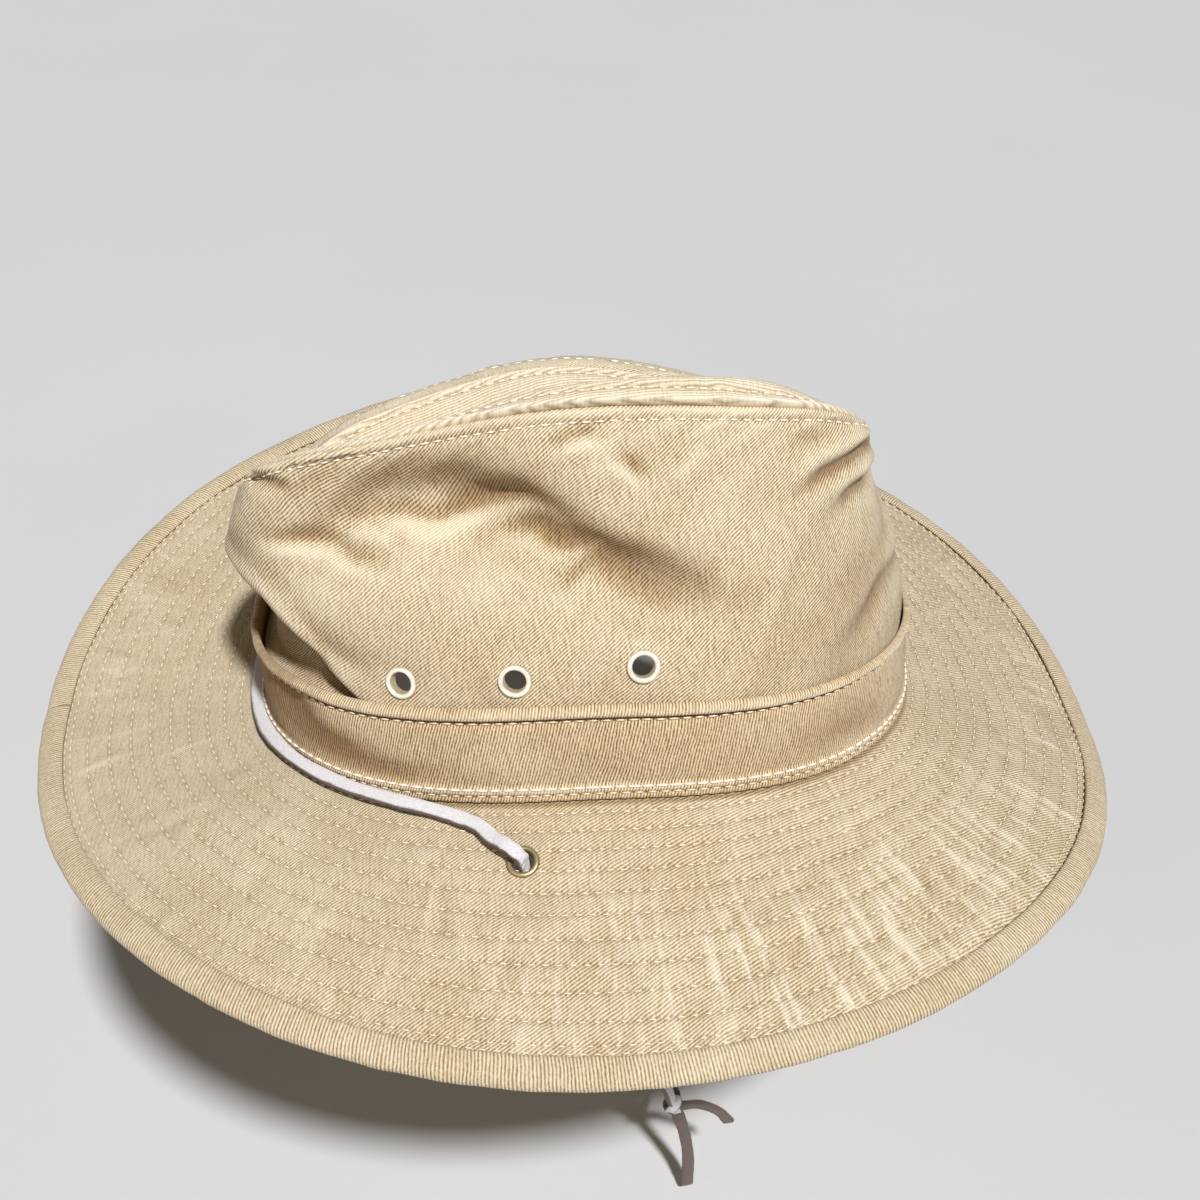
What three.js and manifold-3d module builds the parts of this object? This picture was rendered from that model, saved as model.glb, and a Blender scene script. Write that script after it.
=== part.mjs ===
// Safari hat of cotton twill: a creased crown, a hat band, a stitched brim with a bound edge,
// vent eyelets in the crown, and a leather chin cord that runs through two eyelets in the brim.
// Millimetres, +Z up. The front is at -Y and the wearer's left at +X.
// The origin is the middle of the head opening, at the mean height of the seam of crown and brim.

import * as THREE from "three";
import { mergeVertices } from "three/addons/utils/BufferGeometryUtils.js";
import Module from "manifold-3d";

const wasm = await Module();
wasm.setup();

// Cloth thicknesses, and the gap between pieces that touch
const GAP = 0.3;
const CROWN_CLOTH = 1.6;
const BRIM_CLOTH = 2.2;
const BAND_CLOTH = 1.4;
const BINDING_CLOTH = 0.9;

// Head opening: an oval between an ellipse and a rectangle, measured on the outside of the crown
const HEAD = { halfX: 84.5, halfY: 101.4, power: 2.3 };

// Crown tip: the long oval panel on top, with a hollow down its middle and a crest beside its right seam,
// highest towards one angle in degrees
const TIP = { centreX: -16, centreY: 9.2, halfX: 23, halfY: 87.8, power: 2.2 };
const TIP_FLOOR = 84;
const CREST = { angle: 226, rise: 10.5, place: 0.76, spread: 0.22 };

// Sizes that change around the hat, with a value at each eighth of a turn
const DIRECTIONS = ["left", "leftBack", "back", "rightBack", "right", "rightFront", "front", "leftFront"];
const table = (...values) => Object.fromEntries(DIRECTIONS.map((name, index) => [name, values[index]]));
const SEAM_HEIGHT = table(8, 0, -8, 0, 8, 0, -8, 0);
const TOP_HEIGHT = table(95, 80.5, 76.5, 91.5, 105.5, 101, 87.5, 85.5);
const LEAN_POWER = table(2.0, 1.9, 1.9, 1.75, 1.75, 1.7, 1.45, 1.8);
const RISE_POWER = table(1.3, 1.3, 1.25, 1.05, 1.0, 1.05, 1.25, 1.3);
const BRIM_WIDTH = table(73, 72, 75, 72, 78, 72.5, 75, 74);
const BRIM_DROOP = table(-8, -4.5, 8.5, 16, 28.5, 21, 23, 13);

// The droop of the brim, in degrees, starts at this share of its full value beside the band
const DROOP_START = 0.8;

// Dents and swells of the crown wall: angle and height above the seam, their spreads in degrees and
// millimetres, and the depth inwards
const FOLDS = [
  { name: "right pinch", angle: 151, height: 75, turn: 22, rise: 14, depth: 19 },
  { name: "pinch back corner", angle: 130, height: 66, turn: 9, rise: 9, depth: 4 },
  { name: "pinch front corner", angle: 174, height: 66, turn: 9, rise: 9, depth: 4 },
  { name: "pinch tail", angle: 187, height: 57, turn: 12, rise: 8.5, depth: 7 },
  { name: "pinch tail end", angle: 199, height: 51, turn: 9, rise: 7, depth: 3 },
  { name: "back swell", angle: 97, height: 67, turn: 27, rise: 25, depth: -8 },
  { name: "back recess", angle: 114, height: 37.5, turn: 22, rise: 5, depth: 4 },
  { name: "front pinch", angle: 258, height: 75, turn: 22, rise: 11, depth: 3.6 },
  { name: "front swell", angle: 268, height: 36, turn: 18, rise: 18, depth: -2 },
  { name: "left pinch", angle: 18, height: 58, turn: 22, rise: 13, depth: 6 },
  { name: "left crest", angle: 0, height: 72, turn: 60, rise: 6, depth: -2 },
];

// Hat band: height, the roll along its top edge, the sewn strip along its bottom edge, and the ease
// between band and crown beyond the gap
const BAND_HEIGHT = 29.5;
const ROLL = { height: 4.5, proud: 1.1, rounding: 1 };
const STRIP = { height: 4.2, proud: 0.6, rounding: 0.6 };
const BAND_EASE = 0.15;

// Brim binding: how far it reaches in from the edge
const BINDING_WIDTH = 8.6;

// Eyelets, all of one size
const EYELET = {
  hole: 5.4,
  barrel: 6.4,
  flange: 9.5,
  washer: 8.8,
  rise: 1.2,
  washerThick: 0.5,
  clear: 0.72,
  bevel: 0.3,
};
const DRILL_LENGTH = 12;
const VENTS = [
  { name: "front", turn: -8.2, height: 38.2 },
  { name: "middle", turn: 12.0, height: 35.5 },
  { name: "back", turn: 30.5, height: 34.7 },
];
const CORD_HOLE = { turn: 11.3, reach: 17.6 };

// Chin cord: its thickness here, and its way up through the right eyelet, round the back of the crown,
// down through the left eyelet, under the chin and up again to the right eyelet
const CORD_DIAMETER = 3.4;
const CORD_SIDES = 8;
const CORD_ROUTE = [
  [-101.8, 22.1, 1.1],
  [-102.8, 22.2, 3.3],
  [-102.1, 24.1, 5.3],
  [-100.2, 26.6, 6.1],
  [-97.4, 29.6, 6.0],
  [-92.4, 33.8, 6.2],
  [-86.0, 44.8, 6.1],
  [-80.2, 56.6, 5.4],
  [-69.8, 73.3, 3.5],
  [-52.6, 90.6, 1.0],
  [-30.4, 101.8, -2.2],
  [0.0, 105.9, -4.3],
  [30.4, 101.9, -1.8],
  [52.6, 90.6, 1.6],
  [69.8, 73.3, 4.5],
  [80.3, 56.7, 6.9],
  [86.2, 44.8, 8.8],
  [92.9, 33.9, 11.0],
  [96.1, 29.8, 12.2],
  [98.5, 26.7, 13.7],
  [100.5, 24.2, 14.0],
  [102.1, 22.4, 12.7],
  [103.2, 22.0, 5.5],
  [103.8, 21.8, 1.6],
  [103.8, 20.6, -8.0],
  [100.0, 12.0, -56.0],
  [83.0, -2.0, -112.0],
  [56.0, -14.0, -155.0],
  [22.0, -22.0, -182.0],
  [-14.0, -26.0, -190.0],
  [-44.0, -28.0, -179.0],
  [-64.0, -27.0, -158.0],
  [-79.0, -20.0, -122.0],
  [-90.5, -3.0, -76.0],
  [-96.5, 13.0, -36.0],
  [-97.6, 20.2, -14.0],
  [-98.3, 21.4, -6.9],
  [-99.9, 21.7, -3.3],
  [-101.5, 22.0, 0.5],
];

// Knot of the chin cord, the cord running straight through it, and its two tails
const KNOT = { at: [-64, -27, -158], radius: 5.2, stretch: [1, 1.1, 0.95], sides: 9, rings: 6, clear: 0.4 };
const TAILS = [
  [[-65, -29, -159], [-66, -36, -157], [-67, -43, -160], [-67, -47, -166]],
  [[-65, -28, -160], [-67, -31, -170], [-68, -33, -184], [-69, -33, -199]],
];

// Fineness of the meshes
const COLUMNS = 56;
const WALL_ROWS = 11;
const TIP_RINGS = 6;
const BRIM_ROWS = 6;
const EYELET_SIDES = 10;
const CORD_STEPS_PER_POINT = 2;
const TAIL_STEPS = 4;

const TURN = Math.PI * 2;
const radians = THREE.MathUtils.degToRad;

// A table's value at any angle, by a smooth curve through its eight values
function around(angle, row) {
  const count = DIRECTIONS.length;
  const place = (((angle / TURN) * count) % count + count) % count;
  const index = Math.floor(place);
  const part = place - index;
  const [a, b, c, d] = [-1, 0, 1, 2].map((step) => row[DIRECTIONS[(index + step + count) % count]]);
  const cubic = 3 * b - a - 3 * c + d;
  const square = 2 * a - 5 * b + 4 * c - d;
  return 0.5 * (2 * b + (c - a) * part + square * part ** 2 + cubic * part ** 3);
}

// A point of an oval that lies between an ellipse and a rectangle
function oval(angle, { halfX, halfY, power }) {
  const x = Math.cos(angle);
  const y = Math.sin(angle);
  const scale = (Math.abs(x) ** power + Math.abs(y) ** power) ** (-1 / power);
  return new THREE.Vector2(halfX * scale * x, halfY * scale * y);
}

// The level direction out of the head opening
function outward(angle) {
  const step = 1e-4;
  const along = oval(angle + step, HEAD).sub(oval(angle - step, HEAD));
  return new THREE.Vector2(along.y, -along.x).normalize();
}

// The seam where the crown's side meets its tip
function tipSeam(angle) {
  const level = oval(angle, TIP);
  return new THREE.Vector3(TIP.centreX + level.x, TIP.centreY + level.y, around(angle, TOP_HEIGHT));
}

const wallHeight = (angle) => around(angle, TOP_HEIGHT) - around(angle, SEAM_HEIGHT);

// The outside of the crown's side at a height above the brim seam
function crownWall(angle, height) {
  const share = THREE.MathUtils.clamp(height / wallHeight(angle), 0, 1);
  const climb = 1 - (1 - share) ** (1 / around(angle, RISE_POWER));
  const lean = climb ** around(angle, LEAN_POWER);
  const top = tipSeam(angle);
  const level = oval(angle, HEAD).lerp(new THREE.Vector2(top.x, top.y), lean);
  const out = outward(angle);
  const degrees = THREE.MathUtils.radToDeg(angle);
  for (const fold of FOLDS) {
    const off = THREE.MathUtils.euclideanModulo(degrees - fold.angle + 180, 360) - 180;
    const fade = Math.exp(-((off / fold.turn) ** 2) - ((height - fold.height) / fold.rise) ** 2);
    level.addScaledVector(out, -fold.depth * fade * (1 - share ** 6));
  }
  return new THREE.Vector3(level.x, level.y, around(angle, SEAM_HEIGHT) + height);
}

// The top of the crown tip, with reach 0 at its middle and 1 at its seam
function crownTip(angle, reach) {
  const level = oval(angle, TIP).multiplyScalar(reach);
  const climb = reach * reach * (3 - 2 * reach);
  const beside = Math.max(0, Math.cos(angle - radians(CREST.angle)));
  const crest = Math.exp(-(((reach - CREST.place) / CREST.spread) ** 2)) * (1 - reach ** 8);
  const height = TIP_FLOOR + (around(angle, TOP_HEIGHT) - TIP_FLOOR) * climb + CREST.rise * beside * crest;
  return new THREE.Vector3(TIP.centreX + level.x, TIP.centreY + level.y, height);
}

// A point on the brim's top, reach out from the band's foot, or lifted off the cloth
const BAND_REACH = GAP + BAND_CLOTH;
function brimTop(angle, reach, lift = 0) {
  const share = Math.max(0, reach / around(angle, BRIM_WIDTH));
  const droop = radians(around(angle, BRIM_DROOP)) * (DROOP_START + (1 - DROOP_START) * share);
  const away = BAND_REACH + reach * Math.cos(droop) + lift * Math.sin(droop);
  const level = oval(angle, HEAD).addScaledVector(outward(angle), away);
  const height = around(angle, SEAM_HEIGHT) - reach * Math.sin(droop) + lift * Math.cos(droop);
  return new THREE.Vector3(level.x, level.y, height);
}

// The normal of a surface given by angle and one more measure
function surfaceNormal(surface, angle, measure, step) {
  const turn = 1e-3;
  const across = surface(angle + turn, measure).sub(surface(angle - turn, measure));
  const along = surface(angle, measure + step).sub(surface(angle, measure - step));
  return across.cross(along).normalize();
}

// A closed mesh from its points and triangles
function geometryOf(points, triangles) {
  const geometry = new THREE.BufferGeometry().setFromPoints(points);
  geometry.setIndex(triangles);
  return geometry;
}

// A ring around the hat whose section at each angle is a closed loop of points, counter-clockwise seen
// with the outside to the right
function ringSolid(section) {
  const loops = Array.from({ length: COLUMNS }, (_, column) => section((column / COLUMNS) * TURN));
  const size = loops[0].length;
  const triangles = [];
  for (let column = 0; column < COLUMNS; column += 1) {
    const next = (column + 1) % COLUMNS;
    for (let index = 0; index < size; index += 1) {
      const following = (index + 1) % size;
      const a = column * size + index;
      const b = next * size + index;
      const c = next * size + following;
      const d = column * size + following;
      triangles.push(a, b, c, a, c, d);
    }
  }
  return geometryOf(loops.flat(), triangles);
}

// A dish whose section at each angle runs from the middle of its underside out to its edge, and back to
// the middle of its top
function dishSolid(section, middleBelow, middleAbove) {
  const loops = Array.from({ length: COLUMNS }, (_, column) => section((column / COLUMNS) * TURN));
  const size = loops[0].length;
  const below = COLUMNS * size;
  const above = below + 1;
  const triangles = [];
  for (let column = 0; column < COLUMNS; column += 1) {
    const next = (column + 1) % COLUMNS;
    triangles.push(below, next * size, column * size);
    triangles.push(above, column * size + size - 1, next * size + size - 1);
    for (let index = 0; index < size - 1; index += 1) {
      const a = column * size + index;
      const b = next * size + index;
      triangles.push(a, b, b + 1, a, b + 1, a + 1);
    }
  }
  return geometryOf([...loops.flat(), middleBelow, middleAbove], triangles);
}

// Solids for joining and cutting, from meshes and back
function solidOf(geometry) {
  const plain = geometry.clone();
  plain.deleteAttribute("normal");
  plain.deleteAttribute("uv");
  const merged = mergeVertices(plain, 1e-4);
  const vertProperties = new Float32Array(merged.attributes.position.array);
  const triVerts = new Uint32Array(merged.index.array);
  return new wasm.Manifold(new wasm.Mesh({ numProp: 3, vertProperties, triVerts }));
}

function geometryFrom(solid) {
  const mesh = solid.getMesh();
  const geometry = new THREE.BufferGeometry();
  geometry.setAttribute("position", new THREE.BufferAttribute(new Float32Array(mesh.vertProperties), 3));
  geometry.setIndex(new THREE.BufferAttribute(new Uint32Array(mesh.triVerts), 1));
  return geometry;
}

// The crown tip's normal, with the reach counted from its seam
const tipFromSeam = (angle, inset) => crownTip(angle, 1 - inset);
const tipNormalAt = (angle, inset) => surfaceNormal(tipFromSeam, angle, inset, 0.01);

// The corner of the cloth at the tip seam: where the insides of crown side and tip meet, and the way
// into the tip
function seamCorner(angle) {
  const seam = tipSeam(angle);
  const wallNormal = surfaceNormal(crownWall, angle, wallHeight(angle) - 1, 0.5);
  const tipNormal = tipNormalAt(angle, 0.03);
  const between = wallNormal.clone().add(tipNormal).normalize();
  const inside = seam.clone().addScaledVector(between, -CROWN_CLOTH / between.dot(wallNormal));
  const along = tipSeam(angle + 1e-3).sub(tipSeam(angle - 1e-3)).normalize();
  const inward = between.clone().cross(along).normalize();
  return { seam, inside, inward };
}

// Crown side: a wall of one cloth thickness, from the underside of the brim to the tip seam
function crownSide() {
  return ringSolid((angle) => {
    const tall = wallHeight(angle);
    const corner = seamCorner(angle);
    const outside = [];
    const inside = [];
    for (let row = 0; row < WALL_ROWS; row += 1) {
      const height = (tall * row) / WALL_ROWS;
      const point = crownWall(angle, height);
      const normal = surfaceNormal(crownWall, angle, Math.max(height, 1), 0.5);
      outside.push(point);
      inside.push(point.clone().addScaledVector(normal, -CROWN_CLOTH));
    }
    const foot = new THREE.Vector3(0, 0, -BRIM_CLOTH);
    outside.unshift(outside[0].clone().add(foot));
    inside.unshift(inside[0].clone().add(foot));
    return [...outside, corner.seam, corner.inside, ...inside.reverse()];
  });
}

// Crown tip: a dish that meets the side all round, with a mitred edge
function crownTipSolid() {
  const down = new THREE.Vector3(0, 0, -CROWN_CLOTH);
  const middle = crownTip(0, 0);
  const section = (angle) => {
    const corner = seamCorner(angle);
    const above = [];
    const below = [];
    for (let ring = 1; ring < TIP_RINGS; ring += 1) {
      const reach = ring / TIP_RINGS;
      const point = crownTip(angle, reach);
      above.push(point);
      below.push(point.clone().addScaledVector(tipNormalAt(angle, 1 - reach), -CROWN_CLOTH));
    }
    const edge = corner.seam.addScaledVector(corner.inward, GAP);
    const lowEdge = corner.inside.addScaledVector(corner.inward, GAP);
    return [...below, lowEdge, edge, ...above.reverse()];
  };
  return dishSolid(section, middle.clone().add(down), middle);
}

// Hat band: a strip round the foot of the crown, thicker along the sewn strip and the rolled top edge
function hatBand() {
  const foot = 2 * GAP;
  const outside = [
    { height: foot, proud: STRIP.proud },
    { height: STRIP.height, proud: STRIP.proud },
    { height: STRIP.height + STRIP.rounding, proud: 0 },
    { height: BAND_HEIGHT - ROLL.height, proud: 0 },
    { height: BAND_HEIGHT - ROLL.height + ROLL.rounding, proud: ROLL.proud },
    { height: BAND_HEIGHT - ROLL.rounding, proud: ROLL.proud },
    { height: BAND_HEIGHT, proud: 0 },
  ];
  const inside = [BAND_HEIGHT, BAND_HEIGHT / 2, foot];
  return ringSolid((angle) => {
    const out = outward(angle);
    const place = (height, reach) => {
      const point = crownWall(angle, height);
      return new THREE.Vector3(point.x + out.x * reach, point.y + out.y * reach, point.z);
    };
    return [
      ...outside.map(({ height, proud }) => place(height, GAP + BAND_CLOTH + proud)),
      ...inside.map((height) => place(height, GAP + BAND_EASE)),
    ];
  });
}

// Brim: a ring of cloth from the crown's foot to inside the fold of the binding
function brim() {
  return ringSolid((angle) => {
    const start = GAP - BAND_REACH;
    const end = around(angle, BRIM_WIDTH) - BINDING_CLOTH - GAP;
    const step = (end - start) / BRIM_ROWS;
    const reaches = Array.from({ length: BRIM_ROWS + 1 }, (_, row) => start + step * row);
    const top = reaches.map((reach) => brimTop(angle, reach));
    const under = reaches.map((reach) => brimTop(angle, reach, -BRIM_CLOTH));
    under[0] = top[0].clone().add(new THREE.Vector3(0, 0, -BRIM_CLOTH));
    return [...under, ...top.reverse()];
  });
}

// Brim binding: a strip folded over the edge of the brim, with a leg above and a leg below
function brimBinding() {
  const above = GAP;
  const below = -BRIM_CLOTH - GAP;
  return ringSolid((angle) => {
    const edge = around(angle, BRIM_WIDTH);
    const fold = edge - BINDING_CLOTH;
    const start = edge - BINDING_WIDTH;
    return [
      brimTop(angle, start, below - BINDING_CLOTH),
      brimTop(angle, fold, below - BINDING_CLOTH),
      brimTop(angle, edge, below),
      brimTop(angle, edge, above),
      brimTop(angle, fold, above + BINDING_CLOTH),
      brimTop(angle, start, above + BINDING_CLOTH),
      brimTop(angle, start, above),
      brimTop(angle, fold, above),
      brimTop(angle, fold, below),
      brimTop(angle, start, below),
    ];
  });
}

// Eyelet: a flange on the outside of the cloth, a barrel through it and a washer inside, about the Z axis
function eyelet(cloth) {
  const bottom = -cloth - EYELET.clear - EYELET.washerThick;
  const profile = [
    [EYELET.hole / 2, bottom],
    [EYELET.washer / 2, bottom],
    [EYELET.washer / 2, bottom + EYELET.washerThick],
    [EYELET.barrel / 2, bottom + EYELET.washerThick],
    [EYELET.barrel / 2, EYELET.clear],
    [EYELET.flange / 2, EYELET.clear],
    [EYELET.flange / 2 - EYELET.bevel, EYELET.rise],
    [EYELET.barrel / 2, EYELET.rise + EYELET.bevel],
    [EYELET.hole / 2, EYELET.rise],
    [EYELET.hole / 2, bottom],
  ];
  const lathe = new THREE.LatheGeometry(profile.map(([r, y]) => new THREE.Vector2(r, y)), EYELET_SIDES);
  return lathe.rotateX(Math.PI / 2);
}

// The place and turn of an eyelet on a surface
function placeOn(point, normal) {
  const turn = new THREE.Quaternion().setFromUnitVectors(new THREE.Vector3(0, 0, 1), normal);
  return new THREE.Matrix4().compose(point, turn, new THREE.Vector3(1, 1, 1));
}

// The hole that an eyelet needs in its cloth
function eyeletHole(place) {
  const radius = EYELET.barrel / 2 + GAP;
  const drill = new THREE.CylinderGeometry(radius, radius, DRILL_LENGTH, EYELET_SIDES).rotateX(Math.PI / 2);
  return solidOf(drill.applyMatrix4(place));
}

// An angle that is turned from one side of the hat towards the back
const SIDES = ["right", "left"];
const sideAngle = (side, turn) => radians(side === "right" ? 180 - turn : turn);

function ventPlace(side, vent) {
  const angle = sideAngle(side, vent.turn);
  return placeOn(crownWall(angle, vent.height), surfaceNormal(crownWall, angle, vent.height, 2));
}

function cordHolePlace(side) {
  const angle = sideAngle(side, CORD_HOLE.turn);
  const normal = surfaceNormal(brimTop, angle, CORD_HOLE.reach, 2).negate();
  return placeOn(brimTop(angle, CORD_HOLE.reach), normal);
}

// A cord's curve, spaced by its points so that tight bends keep their short steps
class CordCurve extends THREE.CatmullRomCurve3 {
  getUtoTmapping(share) {
    return share;
  }
}

function cordTube(route, steps, diameter) {
  const curve = new CordCurve(route.map((point) => new THREE.Vector3(...point)), false, "centripetal");
  const corners = Array.from({ length: CORD_SIDES }, (_, side) => {
    const angle = (side / CORD_SIDES) * TURN;
    return new THREE.Vector2((Math.cos(angle) * diameter) / 2, (Math.sin(angle) * diameter) / 2);
  });
  return new THREE.ExtrudeGeometry(new THREE.Shape(corners), { steps, extrudePath: curve });
}

const CORD_STEPS = (CORD_ROUTE.length - 1) * CORD_STEPS_PER_POINT;
const chinCord = () => cordTube(CORD_ROUTE, CORD_STEPS, CORD_DIAMETER);

// Knot: a rough ball on the cord, joined with the two tails and bored for the cord
function chinKnot() {
  const ball = new THREE.SphereGeometry(KNOT.radius, KNOT.sides, KNOT.rings);
  ball.scale(...KNOT.stretch).translate(...KNOT.at);
  const bore = cordTube(CORD_ROUTE, CORD_STEPS, CORD_DIAMETER + 2 * KNOT.clear);
  const tails = TAILS.map((route) => solidOf(cordTube(route, TAIL_STEPS, CORD_DIAMETER)));
  const whole = tails.reduce((sum, tail) => sum.add(tail), solidOf(ball));
  return geometryFrom(whole.subtract(solidOf(bore)));
}

// Cloth cut by the eyelets' holes
const bored = (geometry, places) =>
  geometryFrom(places.reduce((solid, place) => solid.subtract(eyeletHole(place)), solidOf(geometry)));

// Finishes
const finish = (color, roughness, metalness = 0) =>
  new THREE.MeshStandardMaterial({ color, roughness, metalness });
const KHAKI = 0xc3a878;
const BROWNER_KHAKI = 0xb6986a;
const NICKEL_BRASS = 0xc9bb92;
const OLD_BRASS = 0x8d7a48;
const PALE_SUEDE = 0xd9d3d6;

const hat = new THREE.Group();
function addPiece(name, geometry, material) {
  const piece = new THREE.Mesh(geometry, material);
  piece.name = name;
  hat.add(piece);
  return piece;
}

const vents = SIDES.flatMap((side) => VENTS.map((vent) => ({ side, vent, place: ventPlace(side, vent) })));
const cordHoles = SIDES.map((side) => ({ side, place: cordHolePlace(side) }));
addPiece("crown_side", bored(crownSide(), vents.map((vent) => vent.place)), finish(KHAKI, 0.95));
addPiece("crown_tip", crownTipSolid(), finish(KHAKI, 0.95));
addPiece("hat_band", hatBand(), finish(BROWNER_KHAKI, 0.95));
addPiece("brim", bored(brim(), cordHoles.map((hole) => hole.place)), finish(KHAKI, 0.95));
addPiece("brim_binding", brimBinding(), finish(KHAKI, 0.95));
for (const { side, vent, place } of vents) {
  const name = `vent_eyelet_${side}_${vent.name}`;
  const piece = addPiece(name, eyelet(CROWN_CLOTH), finish(NICKEL_BRASS, 0.35, 0.9));
  piece.applyMatrix4(place);
}
for (const { side, place } of cordHoles) {
  const piece = addPiece(`cord_eyelet_${side}`, eyelet(BRIM_CLOTH), finish(OLD_BRASS, 0.45, 0.9));
  piece.applyMatrix4(place);
}
addPiece("chin_cord", chinCord(), finish(PALE_SUEDE, 0.9));
addPiece("chin_knot", chinKnot(), finish(PALE_SUEDE, 0.9));

export default hat;
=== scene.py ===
# %% [markdown]
# # A safari hat of cotton twill
#
# The hat has a soft creased crown, a band round its foot, a stitched brim with a bound edge, metal eyelets
# and a suede chin lace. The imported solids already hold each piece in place. Here every cloth piece becomes
# a fine grid that follows the same rule as its solid, so that folds, seams and puckers can be pressed into
# it, and node trees make what repeats: stitches, eyelets and the tape along the edge.

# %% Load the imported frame
import math

import bmesh
import bpy
import numpy as np
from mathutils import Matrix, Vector


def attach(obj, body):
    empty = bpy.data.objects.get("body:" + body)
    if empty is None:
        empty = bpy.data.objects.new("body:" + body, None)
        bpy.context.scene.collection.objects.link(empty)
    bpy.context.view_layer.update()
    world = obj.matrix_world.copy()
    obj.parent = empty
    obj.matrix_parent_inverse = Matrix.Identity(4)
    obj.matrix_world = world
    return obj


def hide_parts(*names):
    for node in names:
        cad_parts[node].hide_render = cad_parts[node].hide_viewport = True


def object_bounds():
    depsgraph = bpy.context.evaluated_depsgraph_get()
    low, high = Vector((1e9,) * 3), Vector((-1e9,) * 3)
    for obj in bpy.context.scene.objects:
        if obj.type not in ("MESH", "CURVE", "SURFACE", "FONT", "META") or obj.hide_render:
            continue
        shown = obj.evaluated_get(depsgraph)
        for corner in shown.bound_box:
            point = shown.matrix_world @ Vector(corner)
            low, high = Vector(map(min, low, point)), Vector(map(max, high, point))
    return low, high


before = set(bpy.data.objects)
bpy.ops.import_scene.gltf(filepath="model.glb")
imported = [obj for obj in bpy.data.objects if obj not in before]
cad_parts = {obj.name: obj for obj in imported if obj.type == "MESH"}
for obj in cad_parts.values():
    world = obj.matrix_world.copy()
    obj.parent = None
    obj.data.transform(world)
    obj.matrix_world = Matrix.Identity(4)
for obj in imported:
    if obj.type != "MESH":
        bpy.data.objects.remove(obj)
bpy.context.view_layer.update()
print("nodes in the frame:", len(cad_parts))

# %% [markdown]
# ## Camera
#
# The photograph looks down on the wearer's right side, with the front of the hat to the right. The lens
# and place were fitted to the eyelets, the brim's edge and the crown's ridge. A short distance matters
# here: it makes the near brim look much wider than the far one.

# %% Camera
CAMERA_PLACE = Vector((-0.3954, 0.0179, 0.2923))
CAMERA_AIM = Vector((0.0, -0.0050, 0.0153))
LENS = 45.0
NEAR_CLIP = 0.01

camera_data = bpy.data.cameras.new("camera")
camera_data.lens = LENS
camera_data.clip_start = NEAR_CLIP
camera = bpy.data.objects.new("camera", camera_data)
camera.location = CAMERA_PLACE
camera.rotation_euler = (CAMERA_AIM - CAMERA_PLACE).to_track_quat("-Z", "Y").to_euler()
bpy.context.scene.collection.objects.link(camera)
bpy.context.scene.camera = camera
print("camera distance, m:", round((CAMERA_AIM - CAMERA_PLACE).length, 3))

# %% [markdown]
# ## Rules of the shape
#
# A hat is round, so its pieces are easiest to write as functions of an angle and one more measure: a
# height on the crown, a reach on the brim. A few values at the eighths of a turn, joined by a smooth
# curve, give the droop of the brim and the height of the crown. The angle starts at the wearer's left and
# goes by the back to the right and the front. Sizes are in millimetres until a mesh is made.

# %% Rules of the shape: ovals and curves round the hat
MM = 0.001
TURN = 2 * math.pi
EIGHTHS = 8
HEAD = {"half": (84.5, 101.4), "power": 2.3}
TIP = {"half": (23.0, 87.8), "power": 2.2}
TIP_CENTRE = np.array((-16.0, 9.2))

# Values at left, left back, back, right back, right, right front, front, left front
SEAM_HEIGHT = (8, 0, -8, 0, 8, 0, -8, 0)
TOP_HEIGHT = (95, 80.5, 76.5, 91.5, 105.5, 101, 87.5, 85.5)
LEAN_POWER = (2.0, 1.9, 1.9, 1.75, 1.75, 1.7, 1.45, 1.8)
RISE_POWER = (1.3, 1.3, 1.25, 1.05, 1.0, 1.05, 1.25, 1.3)
BRIM_WIDTH = (73, 72, 75, 72, 78, 72.5, 75, 74)
BRIM_DROOP = (-8, -4.5, 8.5, 16, 28.5, 21, 23, 13)


def around(angle, values):
    """A smooth closed curve through eight values round the hat."""
    row = np.asarray(values, float)
    place = np.mod(np.asarray(angle) / TURN * EIGHTHS, EIGHTHS)
    index = np.floor(place).astype(int) % EIGHTHS
    part = place - np.floor(place)
    before, here, after, later = (row[(index + step) % EIGHTHS] for step in (-1, 0, 1, 2))
    square = 2 * before - 5 * here + 4 * after - later
    cubic = 3 * here - before - 3 * after + later
    return 0.5 * (2 * here + (after - before) * part + square * part**2 + cubic * part**3)


def oval(angle, shape):
    """A level oval between an ellipse and a rectangle."""
    x, y = np.cos(angle), np.sin(angle)
    scale = (np.abs(x) ** shape["power"] + np.abs(y) ** shape["power"]) ** (-1 / shape["power"])
    return np.stack([shape["half"][0] * scale * x, shape["half"][1] * scale * y], -1)


def outward(angle, shape=HEAD):
    """The level direction out of an oval."""
    step = 1e-4
    along = oval(angle + step, shape) - oval(angle - step, shape)
    out = np.stack([along[..., 1], -along[..., 0]], -1)
    return out / np.linalg.norm(out, axis=-1, keepdims=True)


def smooth_step(share):
    """From 0 to 1 without corners."""
    share = np.clip(share, 0, 1)
    return share * share * (3 - 2 * share)


def bell(distance, spread):
    """A soft hill: 1 at distance 0, nearly 0 from two spreads on."""
    return np.exp(-((distance / spread) ** 2))


print("head opening, mm:", 2 * HEAD["half"][0], "by", 2 * HEAD["half"][1])

# %% Rules of the shape: crown, tip and brim
CROWN_CLOTH = 1.6
BRIM_CLOTH = 2.2
GAP = 0.3
BAND_REACH = 1.7
TIP_FLOOR = 84
CREST = {"degrees": 226, "rise": 10.5, "place": 0.76, "spread": 0.22}
DROOP_START = 0.8
# Powers that fade the folds and the crest out at the tip's seam
FOLD_FADE = 6
CREST_FADE = 8
TURN_STEP = 1e-3

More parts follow.
